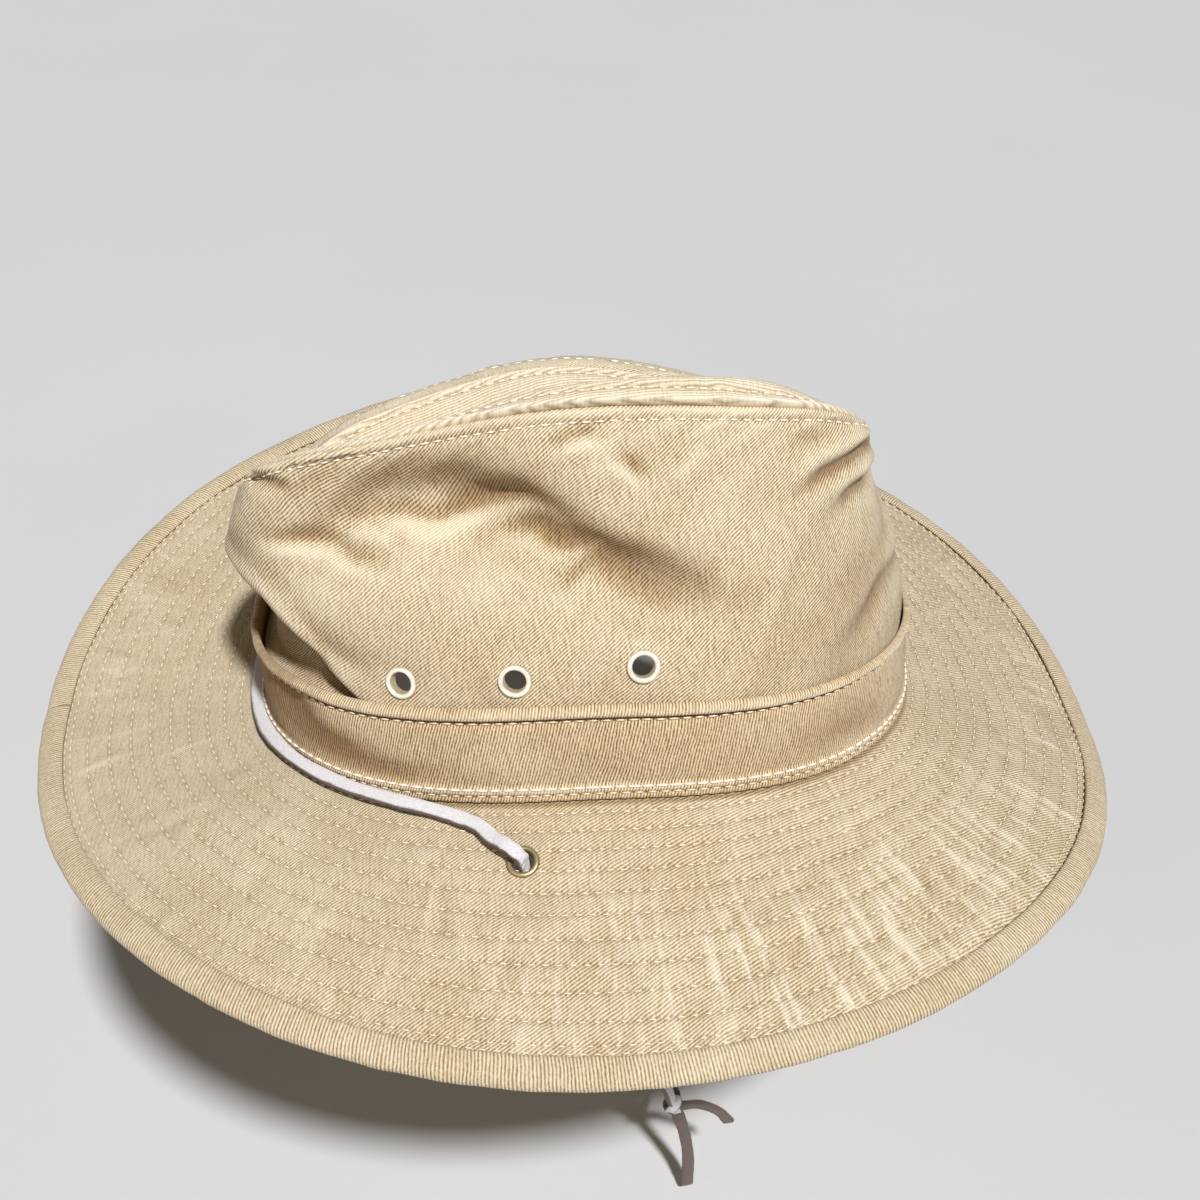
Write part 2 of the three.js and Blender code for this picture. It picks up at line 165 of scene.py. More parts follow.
# Dents and swells of the crown: angle, height, spread in degrees, spread in height, depth inwards
BIG_FOLDS = {
    "right pinch": (151, 75, 22, 14, 19),
    "back corner of the pinch": (130, 66, 9, 9, 4),
    "front corner of the pinch": (174, 66, 9, 9, 4),
    "tail of the pinch": (187, 57, 12, 8.5, 7),
    "end of the tail": (199, 51, 9, 7, 3),
    "back swell": (97, 67, 27, 25, -8),
    "recess under the swell": (114, 37.5, 22, 5, 4),
    "front pinch": (258, 75, 22, 11, 3.6),
    "front swell": (268, 36, 18, 18, -2),
    "left pinch": (18, 58, 22, 13, 6),
    "left ridge": (0, 72, 60, 6, -2),
}
# Where the tip's seam sinks at the left back shoulder: angle, spread in degrees, depth
SHOULDER_DIPS = ((60, 12.5, 7.6), (78, 16, 2.8))


def degrees_between(angle, degrees):
    """The turn from one angle to another, between -180 and 180 degrees."""
    return np.mod(np.degrees(angle) - degrees + 180, 360) - 180


def top_height(angle):
    """The height of the tip's seam."""
    height = around(angle, TOP_HEIGHT)
    for at, turn, deep in SHOULDER_DIPS:
        height = height - deep * bell(degrees_between(angle, at), turn)
    return height


def wall_height(angle):
    return top_height(angle) - around(angle, SEAM_HEIGHT)


def crown_wall(angle, height):
    """The outside of the crown's side at a height above the brim seam."""
    angle, height = np.broadcast_arrays(np.asarray(angle, float), np.asarray(height, float))
    share = np.clip(height / wall_height(angle), 0, 1)
    climb = 1 - (1 - share) ** (1 / around(angle, RISE_POWER))
    lean = climb ** around(angle, LEAN_POWER)
    level = oval(angle, HEAD)
    level = level + (TIP_CENTRE + oval(angle, TIP) - level) * lean[..., None]
    depth = np.zeros_like(share)
    for at, up, turn, rise, deep in BIG_FOLDS.values():
        depth += deep * np.exp(-((degrees_between(angle, at) / turn) ** 2) - ((height - up) / rise) ** 2)
    level = level - outward(angle) * (depth * (1 - share**FOLD_FADE))[..., None]
    return np.concatenate([level, (around(angle, SEAM_HEIGHT) + height)[..., None]], -1)


def crown_tip(angle, reach):
    """The panel on top, from its middle at reach 0 to its seam at reach 1."""
    angle, reach = np.broadcast_arrays(np.asarray(angle, float), np.asarray(reach, float))
    level = TIP_CENTRE + oval(angle, TIP) * reach[..., None]
    climb = reach * reach * (3 - 2 * reach)
    crest = bell(reach - CREST["place"], CREST["spread"]) * (1 - reach**CREST_FADE)
    height = TIP_FLOOR + (top_height(angle) - TIP_FLOOR) * climb
    beside = np.maximum(0, np.cos(angle - math.radians(CREST["degrees"])))
    height = height + CREST["rise"] * beside * crest
    return np.concatenate([level, height[..., None]], -1)


def brim_top(angle, reach, lift=0.0):
    """The top of the brim, reach out from the band's foot, or lifted off the cloth."""
    angle, reach, lift = np.broadcast_arrays(*(np.asarray(part, float) for part in (angle, reach, lift)))
    share = np.maximum(0, reach / around(angle, BRIM_WIDTH))
    droop = np.radians(around(angle, BRIM_DROOP)) * (DROOP_START + (1 - DROOP_START) * share)
    away = BAND_REACH + reach * np.cos(droop) + lift * np.sin(droop)
    level = oval(angle, HEAD) + outward(angle) * away[..., None]
    height = around(angle, SEAM_HEIGHT) - reach * np.sin(droop) + lift * np.cos(droop)
    return np.concatenate([level, height[..., None]], -1)


def unit(vectors):
    return vectors / np.maximum(np.linalg.norm(vectors, axis=-1, keepdims=True), 1e-9)


def normals_of(surface, angle, measure, step):
    """Normals of a surface of angle and one more measure, by small steps both ways."""
    across = surface(angle + TURN_STEP, measure) - surface(angle - TURN_STEP, measure)
    along = surface(angle, measure + step) - surface(angle, measure - step)
    return unit(np.cross(across, along))


print("highest seam of the crown, mm:", round(float(top_height(np.linspace(0, TURN, 97)).max()), 1))

# %% [markdown]
# ## Chin lace
#
# A flat suede lace comes up through the right brim eyelet, lies on the brim round the back of the crown,
# goes down through the left eyelet and hangs in a loop under the chin, tied near the right side. It is one
# free cord, so it follows the route of its solid. A curve with a bevel would turn about its own line. Here
# a flat section is swept along the route by hand, with its face kept on the brim where it lies there, and
# carried on without twist where it hangs.

# %% Chin lace: the route
CORD_ROUTE = (
    (-101.8, 22.1, 1.1), (-102.8, 22.2, 3.3), (-102.1, 24.1, 5.3), (-100.2, 26.6, 6.1),
    (-97.4, 29.6, 6.0), (-92.4, 33.8, 6.2), (-86.0, 44.8, 6.1), (-80.2, 56.6, 5.4),
    (-69.8, 73.3, 3.5), (-52.6, 90.6, 1.0), (-30.4, 101.8, -2.2), (0.0, 105.9, -4.3),
    (30.4, 101.9, -1.8), (52.6, 90.6, 1.6), (69.8, 73.3, 4.5), (80.3, 56.7, 6.9),
    (86.2, 44.8, 8.8), (92.9, 33.9, 11.0), (96.1, 29.8, 12.2), (98.5, 26.7, 13.7),
    (100.5, 24.2, 14.0), (102.1, 22.4, 12.7), (103.2, 22.0, 5.5), (103.8, 21.8, 1.6),
    (103.8, 20.6, -8.0), (100.0, 12.0, -56.0), (83.0, -2.0, -112.0), (56.0, -14.0, -155.0),
    (22.0, -22.0, -182.0), (-14.0, -26.0, -190.0), (-44.0, -28.0, -179.0), (-64.0, -27.0, -158.0),
    (-79.0, -20.0, -122.0), (-90.5, -3.0, -76.0), (-96.5, 13.0, -36.0), (-97.6, 20.2, -14.0),
    (-98.3, 21.4, -6.9), (-99.9, 21.7, -3.3), (-101.5, 22.0, 0.5),
)
FIRST_ON_BRIM, LAST_ON_BRIM = 4, 17
TAILS = (
    ((-65, -29, -159), (-66, -36, -157), (-67, -43, -160), (-67, -47, -166)),
    ((-65, -28, -160), (-67, -31, -170), (-68, -33, -184), (-69, -33, -199)),
)
STEPS_PER_SPAN = 16


def smooth_route(route, steps):
    """A curve through the route's points whose bends stay as tight as the points are close."""
    points = np.asarray(route, float)
    points = np.vstack([2 * points[0] - points[1], points, 2 * points[-1] - points[-2]])
    line = []
    for a, b, c, d in zip(points, points[1:], points[2:], points[3:]):
        spans = [np.linalg.norm(span) for span in (b - a, c - b, d - c)]
        before, here, after = (max(math.sqrt(span), 1e-4) for span in spans)
        leave = ((b - a) / before - (c - a) / (before + here) + (c - b) / here) * here
        arrive = ((c - b) / here - (d - b) / (here + after) + (d - c) / after) * here
        part = (np.arange(steps) / steps)[:, None]
        cubic = 2 * b - 2 * c + leave + arrive
        square = -3 * b + 3 * c - 2 * leave - arrive
        line.append(b + leave * part + square * part**2 + cubic * part**3)
    return np.vstack(line + [points[-2:-1]])


lace_line = smooth_route(CORD_ROUTE, STEPS_PER_SPAN)

# %% Chin lace: the flat sweep
LACE_WIDTH = 4.2
LACE_THICK = 1.9
LACE_SINK = 0.65
# Where the lace lies on the brim, and the steps over which it settles there
LACE_REACH = 15.0
LAY_STEPS = 20
# How far the lace's width wavers, as a share, and over how many steps the waver is evened
EDGE_WAVE = 0.16
WAVE_SPAN = 9
SUEDE_SEED = 11
# Corners of the section: sideways share of the width, height share of the thickness, and the side it shows
LACE_SECTION = (
    (-0.50, -0.22, -0.7), (-0.43, -0.47, -0.9), (-0.20, -0.50, -1.0), (0.20, -0.50, -1.0),
    (0.43, -0.47, -0.7), (0.50, -0.22, -0.2), (0.50, 0.20, 0.15), (0.43, 0.46, 0.8),
    (0.20, 0.50, 1.0), (-0.22, 0.50, 1.0), (-0.43, 0.46, 0.35), (-0.50, 0.20, -0.6),
)


def along_line(line):
    return unit(np.gradient(line, axis=0))


def carried(tangents, first, start):
    """Carry a face's normal along a line without twist, forwards from the one at the start."""
    faces = [first]
    for tangent in tangents[start:]:
        face = faces[-1] - tangent * np.dot(faces[-1], tangent)
        faces.append(face / np.linalg.norm(face))
    return np.array(faces[1:])


def add_object(name, mesh):
    piece = bpy.data.objects.new(name, mesh)
    bpy.context.scene.collection.objects.link(piece)
    return piece


def face_outwards(mesh):
    """Turn every face of a closed mesh to its outside."""
    shell = bmesh.new()
    shell.from_mesh(mesh)
    bmesh.ops.recalc_face_normals(shell, faces=shell.faces)
    shell.to_mesh(mesh)
    shell.free()


def lace_mesh(name, line, faces, width, thick, seed):
    """A flat lace along a line, with a wavy cut edge, closed at both ends, and its two sides marked."""
    random = np.random.default_rng(seed)
    tangents = along_line(line)
    sideways = unit(np.cross(tangents, faces))
    count, corners = len(line), len(LACE_SECTION)
    draws = random.normal(0, 1, count + WAVE_SPAN - 1)
    wave = np.convolve(draws, np.ones(WAVE_SPAN) / WAVE_SPAN, "valid")[:, None] * EDGE_WAVE
    section = np.array(LACE_SECTION)
    spread = section[None, :, 0] * width * (1 + wave)
    points = line[:, None] + sideways[:, None] * spread[..., None]
    points = points + faces[:, None] * (section[None, :, 1] * thick)[..., None]
    quads = []
    for step in range(count - 1):
        for corner in range(corners):
            beside = (corner + 1) % corners
            here, there = step * corners, (step + 1) * corners
            quads.append((here + corner, here + beside, there + beside, there + corner))
    quads.append(tuple(range(corners - 1, -1, -1)))
    quads.append(tuple((count - 1) * corners + corner for corner in range(corners)))
    mesh = bpy.data.meshes.new(name)
    mesh.from_pydata((points.reshape(-1, 3) * MM).tolist(), [], quads)
    shows = mesh.attributes.new("shows", "FLOAT", "POINT")
    shows.data.foreach_set("value", np.tile(section[:, 2], count).astype(np.float32))
    mesh.polygons.foreach_set("use_smooth", [len(face) == 4 for face in quads])
    face_outwards(mesh)
    return mesh


lace_tangents = along_line(lace_line)
first_step, last_step = FIRST_ON_BRIM * STEPS_PER_SPAN, LAST_ON_BRIM * STEPS_PER_SPAN
on_brim = slice(first_step, last_step + 1)
lace_level = lace_line[on_brim, :2] / np.array(HEAD["half"])
lace_angle = np.unwrap(np.arctan2(lace_level[:, 1], lace_level[:, 0]))
brim_faces = -normals_of(brim_top, lace_angle, np.full_like(lace_angle, LACE_REACH), 2.0)
leaning = (brim_faces * lace_tangents[on_brim]).sum(-1, keepdims=True)
brim_faces = unit(brim_faces - lace_tangents[on_brim] * leaning)
down_the_left = carried(lace_tangents, brim_faces[-1], last_step + 1)
to_the_start = carried(lace_tangents[::-1], brim_faces[0], len(lace_line) - first_step)[::-1]
lace_faces = np.vstack([to_the_start, brim_faces, down_the_left])
lace_steps = np.arange(len(lace_line))
rest = np.clip((lace_steps - first_step + LAY_STEPS) / LAY_STEPS, 0, 1)
rest = rest * np.clip((last_step + LAY_STEPS - lace_steps) / LAY_STEPS, 0, 1)
laid_line = lace_line - lace_faces * (LACE_SINK * rest)[:, None]
lace_sheet = lace_mesh("chin_lace", laid_line, lace_faces, LACE_WIDTH, LACE_THICK, SUEDE_SEED)
chin_lace = add_object("chin_lace", lace_sheet)
print("lace faces:", len(chin_lace.data.polygons))

# %% [markdown]
# ## Knot of the lace
#
# The two ends meet in one small overhand knot, with a short tail that stands off and a long one that hangs
# down. A tight overhand knot is close to a trefoil curve, so the same lace section, a little narrower, is
# swept along a small trefoil, and the tails along their own short routes.

# %% Knot and tails
KNOT_AT = np.array((-64.0, -27.0, -158.0))
KNOT_SCALE = 1.45
KNOT_STEPS = 96
KNOT_WIDTH, KNOT_THICK = LACE_WIDTH * 0.8, LACE_THICK * 0.9
# Which way the flat side looks: outwards in the knot with a slight lean, and at the start of a tail
KNOT_FACE, KNOT_LEAN = np.array((1.0, 0.3, 1.0)), np.array((0, 0.05, 0))
TAIL_FACE = np.array((1.0, 0.2, 0.1))


def join_meshes(name, meshes):
    whole = bmesh.new()
    for mesh in meshes:
        whole.from_mesh(mesh)
    joined = bpy.data.meshes.new(name)
    whole.to_mesh(joined)
    whole.free()
    return joined


turn = np.linspace(0, TURN, KNOT_STEPS + 1)
trefoil = np.stack([
    np.sin(turn) + 2 * np.sin(2 * turn), -np.sin(3 * turn), np.cos(turn) - 2 * np.cos(2 * turn)], -1)
knot_line = KNOT_AT + trefoil * KNOT_SCALE
knot_faces = unit(trefoil * KNOT_FACE + KNOT_LEAN)
knot_parts = [lace_mesh("knot", knot_line, knot_faces, KNOT_WIDTH, KNOT_THICK, SUEDE_SEED + 1)]
for number, route in enumerate(TAILS):
    tail_line = smooth_route(route, STEPS_PER_SPAN)
    tail_faces = carried(along_line(tail_line), TAIL_FACE, 0)
    tail_seed = SUEDE_SEED + 2 + number
    knot_parts.append(lace_mesh("tail", tail_line, tail_faces, LACE_WIDTH, LACE_THICK, tail_seed))
chin_knot = add_object("lace_knot", join_meshes("lace_knot", knot_parts))
print("knot faces:", len(chin_knot.data.polygons))

# %% [markdown]
# ## Rings of cloth
#
# Band, brim and crown side are all rings: a section that is carried round the hat. One helper turns a grid
# of points into such a ring and gives it two things for its material. The UV map "cloth" holds millimetres
# on the flat cloth, so a weave keeps its real pitch, and an attribute of wear and painted shade tells
# raised folds, which are painted paler, partly as wear and partly as painted light, from hollows, which
# are painted darker as painted shade.

# %% Rings of cloth
COLUMNS = 600
# Painted light by facing: how far cloth looks up where it is painted neither paler nor darker, and the most
# that painted light or painted shade changes it either way
PAINTED_LIGHT_MIDDLE, PAINTED_LIGHT_LIMIT = 0.3, 0.6
ring_angle = np.arange(COLUMNS) / COLUMNS * TURN


def set_cloth(mesh, corners_uv, wear_and_shade):
    layer = mesh.uv_layers.new(name="cloth")
    layer.data.foreach_set("uv", np.asarray(corners_uv, np.float32).ravel())
    attribute = mesh.attributes.new("wear_and_shade", "FLOAT", "POINT")
    attribute.data.foreach_set("value", np.asarray(wear_and_shade, np.float32).ravel())
    mesh.polygons.foreach_set("use_smooth", [True] * len(mesh.polygons))
    mesh.update()


def ring_mesh(name, points, cloth, wear_and_shade, cloth_beside=None):
    """A closed ring: columns of points round the hat, each one a closed section, outside to the right."""
    columns, rows = points.shape[:2]
    column, row = np.meshgrid(np.arange(columns), np.arange(rows), indexing="ij")
    beside, following = (column + 1) % columns, (row + 1) % rows
    quads = np.stack([
        column * rows + row, beside * rows + row, beside * rows + following, column * rows + following,
    ], -1).reshape(-1, 4)
    mesh = bpy.data.meshes.new(name)
    mesh.from_pydata((points.reshape(-1, 3) * MM).tolist(), [], quads.tolist())
    right = np.roll(cloth, -1, axis=0) if cloth_beside is None else cloth_beside
    corners = np.stack([
        cloth, right, np.roll(right, -1, axis=1), np.roll(cloth, -1, axis=1),
    ], 2)
    set_cloth(mesh, corners, wear_and_shade)
    return mesh


def blurred(field, passes):
    """A field on a ring's grid, smoothed a little in both directions."""
    for _ in range(passes):
        field = (np.roll(field, 1, 0) + 2 * field + np.roll(field, -1, 0)) / 4
        inner = np.pad(field, ((0, 0), (1, 1)), "edge")
        field = (inner[:, :-2] + 2 * field + inner[:, 2:]) / 4
    return field


def wear_and_shade_of(relief, passes, gain):
    """How far each point stands out of the cloth around it: -1 in hollows, painted as shade, to 1 on folds.
    """
    return np.clip((relief - blurred(relief, passes)) * gain, -1, 1)


def rumples(along, up, seed, count, longest, shortest, height):
    """Soft random waves over the cloth, the same on every run."""
    random = np.random.default_rng(seed)
    field = np.zeros(np.broadcast(along, up).shape)
    for _ in range(count):
        length = random.uniform(shortest, longest)
        heading = random.uniform(0, math.pi)
        start = random.uniform(0, TURN)
        phase = (along * math.cos(heading) + up * math.sin(heading)) * TURN / length
        field += np.cos(phase + start) * random.uniform(0.5, 1)
    return field * height / math.sqrt(count)


def painted_sky_light(points, passes):
    """How far each point faces up: painted light on faces turned up, painted shade on faces turned down."""
    across = np.roll(points, -1, 0) - np.roll(points, 1, 0)
    upward = unit(np.cross(across, np.gradient(points, axis=1)))[..., 2]
    return np.clip(blurred(upward, passes) - PAINTED_LIGHT_MIDDLE, -PAINTED_LIGHT_LIMIT, PAINTED_LIGHT_LIMIT)


def arc_length(points):
    """Distance along each row of a closed ring of points, from its first column."""
    steps = np.linalg.norm(np.roll(points, -1, axis=0) - points, axis=-1)
    return np.concatenate([np.zeros((1,) + steps.shape[1:]), np.cumsum(steps, axis=0)])


print("columns round the hat:", COLUMNS)

# %% [markdown]
# ## Folds of the crown
#
# The crown has been worn and squashed: a broad pinch runs over its right side, sharp creases lie near the
# ridge, and at the back the cloth bulges over and folds under itself above the band. A sculptor would brush
# them in. In code each crease is a short path on the wall, with a valley along it and a raised lip on one
# side, so that its place, width and depth can be read and changed.

# %% Folds of the crown
# Path as degrees and heights, valley width and depth, lip height, and the lip's side: 1 above, -1 below
CREASES = (
    {"path": ((148, 75), (156, 74), (165, 73.5), (173, 69.5), (182, 61.5), (196, 50), (208, 41)),
     "width": 8.0, "depth": 4.4, "lip": 0.0, "side": 1},
    {"path": ((130, 70), (137, 72), (147, 71.2), (153, 70), (158, 71.7), (166, 74.7), (171, 75.3),
              (176, 74), (181, 71)),
     "width": 1.6, "depth": 2.3, "lip": 1.1, "side": -1},
    {"path": ((162, 69), (168, 68.6), (173, 67.9), (175, 65.5), (178, 64.6), (183, 65.2), (187, 64)),
     "width": 1.5, "depth": 2.0, "lip": 0.9, "side": -1},
    {"path": ((173, 54.5), (179, 57.3), (183, 60.8), (187, 61.5)),
     "width": 1.6, "depth": 0.7, "lip": 0.2, "side": -1},
    {"path": ((183, 62), (185, 57.5), (189, 54), (197, 49.5)),
     "width": 2.2, "depth": 0.8, "lip": 0.2, "side": -1},
    {"path": ((113, 67.5), (119, 67.5), (126, 67.2), (132, 66.2), (137, 63.9), (144, 62), (149, 60)),
     "width": 1.6, "depth": 1.9, "lip": 0.9, "side": -1},
    {"path": ((132, 67.4), (138, 69.5), (143, 68.6), (150, 64.4)),
     "width": 1.4, "depth": 1.2, "lip": 0.7, "side": -1},
    {"path": ((174.5, 86.2), (180, 90.5), (184, 92), (190, 91.8)),
     "width": 1.4, "depth": 1.6, "lip": 0.9, "side": -1},
    {"path": ((187, 89.2), (191, 86), (192, 84.4), (195, 81.6)),
     "width": 1.4, "depth": 1.6, "lip": 0.8, "side": -1},
    {"path": ((270, 84), (258, 87.5), (249, 88.4), (242, 87.2), (235, 85.6), (229, 83.9), (223.5, 81.2),
              (212, 74)),
     "width": 1.9, "depth": 3.2, "lip": 1.8, "side": 1},
    {"path": ((284, 74), (270, 77.5), (256, 78.8), (247, 78.1), (239, 77.5), (233.5, 76.2), (223, 72)),
     "width": 1.7, "depth": 2.6, "lip": 1.2, "side": 1},
    {"path": ((219, 95.5), (225, 94.3), (231, 91.9), (238, 88.8)),
     "width": 2.4, "depth": 0.9, "lip": 0.0, "side": 1},
    {"path": ((207, 95), (201, 86.8), (196.5, 80)), "width": 1.5, "depth": -0.8, "lip": 0.0, "side": 1},
    {"path": ((206, 65), (203, 52), (200, 41)), "width": 1.4, "depth": -0.5, "lip": 0.0, "side": -1},
    {"path": ((218.5, 70), (213, 57), (208.5, 43.5)), "width": 1.5, "depth": -0.6, "lip": 0.0, "side": -1},
    {"path": ((278, 45), (266, 49), (254, 50), (240, 48.6), (232, 43.7), (220, 36)),
     "width": 2.4, "depth": 1.2, "lip": 0.6, "side": 1},
    {"path": ((104, 84.8), (110, 84.4), (120, 83.4), (127, 82)),
     "width": 1.4, "depth": 1.6, "lip": 0.9, "side": 1},
    {"path": ((48, 66), (34, 64.5), (20, 62), (2, 60), (-14, 55), (-30, 47)),
     "width": 3.0, "depth": 1.5, "lip": 0.6, "side": 1},
    {"path": ((84, 61), (70, 59.5), (58, 56.5), (46, 51.5), (34, 44)),
     "width": 2.4, "depth": 1.1, "lip": 0.5, "side": 1},
    {"path": ((286, 44), (294, 54), (304, 62), (316, 69), (330, 74)),
     "width": 2.4, "depth": 1.0, "lip": 0.4, "side": 1},
)
# Patches of painted shade on the crown: degrees, height, spread in degrees, spread in height, strength
PAINTED_SHADE_PATCHES = (
    (112, 38, 16, 9, 0.8),
    (170, 74, 10, 7, 0.45), (181, 64, 10, 7, 0.6), (190, 54, 9, 5, 0.35), (232, 50, 16, 16, 0.5),
    (200, 44, 26, 9, 0.25), (184, 47, 9, 6, 0.3), (222, 90, 14, 5, 0.3), (240, 82, 12, 5, 0.35),
)
CREASE_STEPS = 12
# A crease fades over a third of its path at each end. The other sizes are multiples of its width
END_FADE = 3
CREASE_REACH = 8
VALLEY_SLOPE = 2.2
LIP_OFF, LIP_SPREAD = 2.4, 1.7
BACK_FOLD_DEGREES = (66, 84, 96, 104, 112.5, 117.4, 126, 134.5, 140.7, 146)
BACK_FOLD_HEIGHTS = (48.5, 53.5, 55, 54.8, 52.3, 50.4, 43.9, 34.8, 29.6, 26.5)
BACK_FOLD_DEPTH = 5.0
BACK_FOLD_LIP = 1.8
# Degrees over which the fold begins and ends, how fast the cloth turns under, and where the band covers it
BACK_FOLD_STARTS, BACK_FOLD_STOPS = 22, 14
TURN_UNDER, BACK_LIP_SPREAD = 3.2, 3.4
COVERED_BELOW, COVERED_OVER = 19, 9


def crease_relief(points, fold):
    """How far one crease moves each point out of the wall."""
    places = smooth_route([(degrees, height, 0) for degrees, height in fold["path"]], CREASE_STEPS)
    turned, height = np.radians(places[:, 0]), places[:, 1]
    line = crown_wall(turned, height)
    up = np.cross(normals_of(crown_wall, turned, height, 1.0), along_line(line))
    up = up * np.sign(up[:, 2:])
    share = np.linspace(0, 1, len(line))
    ends = smooth_step(END_FADE * share) * smooth_step(END_FADE * (1 - share))
    nearest = ((line**2).sum(-1) - 2 * points @ line.T).argmin(-1)
    away = points - line[nearest]
    width = fold["width"]
    fade = ends[nearest] * (np.linalg.norm(away, axis=-1) < CREASE_REACH * width)
    off = (away * up[nearest]).sum(-1) * fold["side"]
    valley = bell(off, np.where(off > 0, width, VALLEY_SLOPE * width))
    lip = bell(off - LIP_OFF * width, LIP_SPREAD * width)
    return fade * (fold["lip"] * lip - fold["depth"] * valley)


def back_fold_relief(angle, height):
    """The bulge at the back that folds over, with the cloth drawn in below it."""
    degrees = np.mod(np.degrees(angle), 360)
    below = np.interp(degrees, BACK_FOLD_DEGREES, BACK_FOLD_HEIGHTS) - height
    begun = smooth_step((degrees - BACK_FOLD_DEGREES[0]) / BACK_FOLD_STARTS)
    window = begun * smooth_step((BACK_FOLD_DEGREES[-1] - degrees) / BACK_FOLD_STOPS)
    drawn_in = smooth_step(below / TURN_UNDER) * smooth_step((height - COVERED_BELOW) / COVERED_OVER)
    lip = bell(below + TURN_UNDER, BACK_LIP_SPREAD)
    return window * (BACK_FOLD_LIP * lip - BACK_FOLD_DEPTH * drawn_in)


print("creases:", len(CREASES))

# %% [markdown]
# ## Side of the crown
#
# The side is sewn from two panels that meet at the front and the back, and its top edge turns into the seam
# of the tip. The wall keeps its cloth thickness, so the hat is a hollow shell with a real inside. The vent
# holes are cut with a Boolean, which keeps the UV map.

# %% Side of the crown: the displaced wall
VENTS = {"front": (-8.2, 38.2), "middle": (12.0, 35.5), "back": (30.5, 34.7)}
VENT_CLEAR = 8.0
WALL_ROWS = 112
INNER_EVERY = 6
SEAM_STITCH = 3.4
# Distances from the seam that get rows of their own, so that its edge and stitches stay sharp
SEAM_ROWS = np.array((7.0, 6.0, 5.2, 4.6, 4.1, 3.7, 3.3, 2.9, 2.4, 1.9, 1.4, 1.0, 0.7, 0.45, 0.2, 0.0))
CROWN_SEED = 5
# The relief is calm close to the seam, and where the band covers the wall's foot
SEAM_CALM = 14
FOOT_CALM = {"below": 16, "over": 12}
PUCKERS_AT = {"from_seam": 5, "spread": 5}
SEAM_LIP = {"from_seam": 1.9, "spread": 0.9, "height": 0.3}
SEAM_EDGE = {"spread": 0.6, "depth": 1.6}
STITCH_GROOVE = {"spread": 0.7, "depth": 0.4}


def side_angle(side, turn_back):
    return math.radians(180 - turn_back if side == "right" else turn_back)


vent_spots = [
    (side_angle(side, turned), height) for side in ("right", "left") for turned, height in VENTS.values()]
vent_points = [crown_wall(angle, height) for angle, height in vent_spots]

wall_angle = np.repeat(ring_angle[:, None], WALL_ROWS, 1)
tall = wall_height(ring_angle)[:, None]
plain_rows = np.linspace(0, 1, WALL_ROWS - len(SEAM_ROWS), endpoint=False)[None] * (tall - SEAM_ROWS[0])
wall_up = np.concatenate([plain_rows, tall - SEAM_ROWS], 1)
wall_base = crown_wall(wall_angle, wall_up)
wall_normal = normals_of(crown_wall, wall_angle, np.clip(wall_up, 1, wall_height(wall_angle) - 1), 0.5)
from_seam = tall - wall_up
wall_along = arc_length(wall_base)[:-1]

wall_relief = blurred(sum(crease_relief(wall_base, fold) for fold in CREASES), 1)
wall_relief = wall_relief + back_fold_relief(wall_angle, wall_up)
soft_waves = rumples(wall_along, wall_up, CROWN_SEED, count=16, longest=60, shortest=24, height=0.55)
wall_relief += soft_waves * smooth_step(from_seam / SEAM_CALM)
puckers = rumples(wall_along, wall_up * 0.15, CROWN_SEED + 1, count=7, longest=16, shortest=7, height=0.3)
wall_relief += puckers * bell(from_seam - PUCKERS_AT["from_seam"], PUCKERS_AT["spread"])
for spot in vent_points:
    distance = np.linalg.norm(wall_base - spot, axis=-1)
    wall_relief *= 1 - np.exp(-((distance / VENT_CLEAR) ** 4))
wall_relief *= smooth_step((wall_up - FOOT_CALM["below"]) / FOOT_CALM["over"])
seam_lip = SEAM_LIP["height"] * bell(from_seam - SEAM_LIP["from_seam"], SEAM_LIP["spread"])
wall_relief += seam_lip - SEAM_EDGE["depth"] * bell(from_seam, SEAM_EDGE["spread"])
wall_relief -= STITCH_GROOVE["depth"] * bell(from_seam - SEAM_STITCH, STITCH_GROOVE["spread"])
wall_outside = wall_base + wall_normal * wall_relief[..., None]
print("deepest and highest relief of the wall, mm:", wall_relief.min().round(2), wall_relief.max().round(2))

# %% Side of the crown: the shell and its weave map
inner_rows = np.arange(WALL_ROWS - 1, -1, -INNER_EVERY)
foot_drop = np.array((0, 0, -BRIM_CLOTH))
lowest = np.min([np.roll(wall_relief, step, 0) for step in range(-2, 3)], 0)
lowest = np.pad(lowest, ((0, 0), (INNER_EVERY, INNER_EVERY)), "edge")
lowest = np.min([lowest[:, step:step + WALL_ROWS] for step in range(2 * INNER_EVERY + 1)], 0)
wall_inside = (wall_base + wall_normal * (lowest - CROWN_CLOTH)[..., None])[:, inner_rows]
foot_outside, foot_inside = wall_outside[:, :1] + foot_drop, wall_inside[:, -1:] + foot_drop
crown_section = np.concatenate([foot_outside, wall_outside, wall_inside, foot_inside], 1)

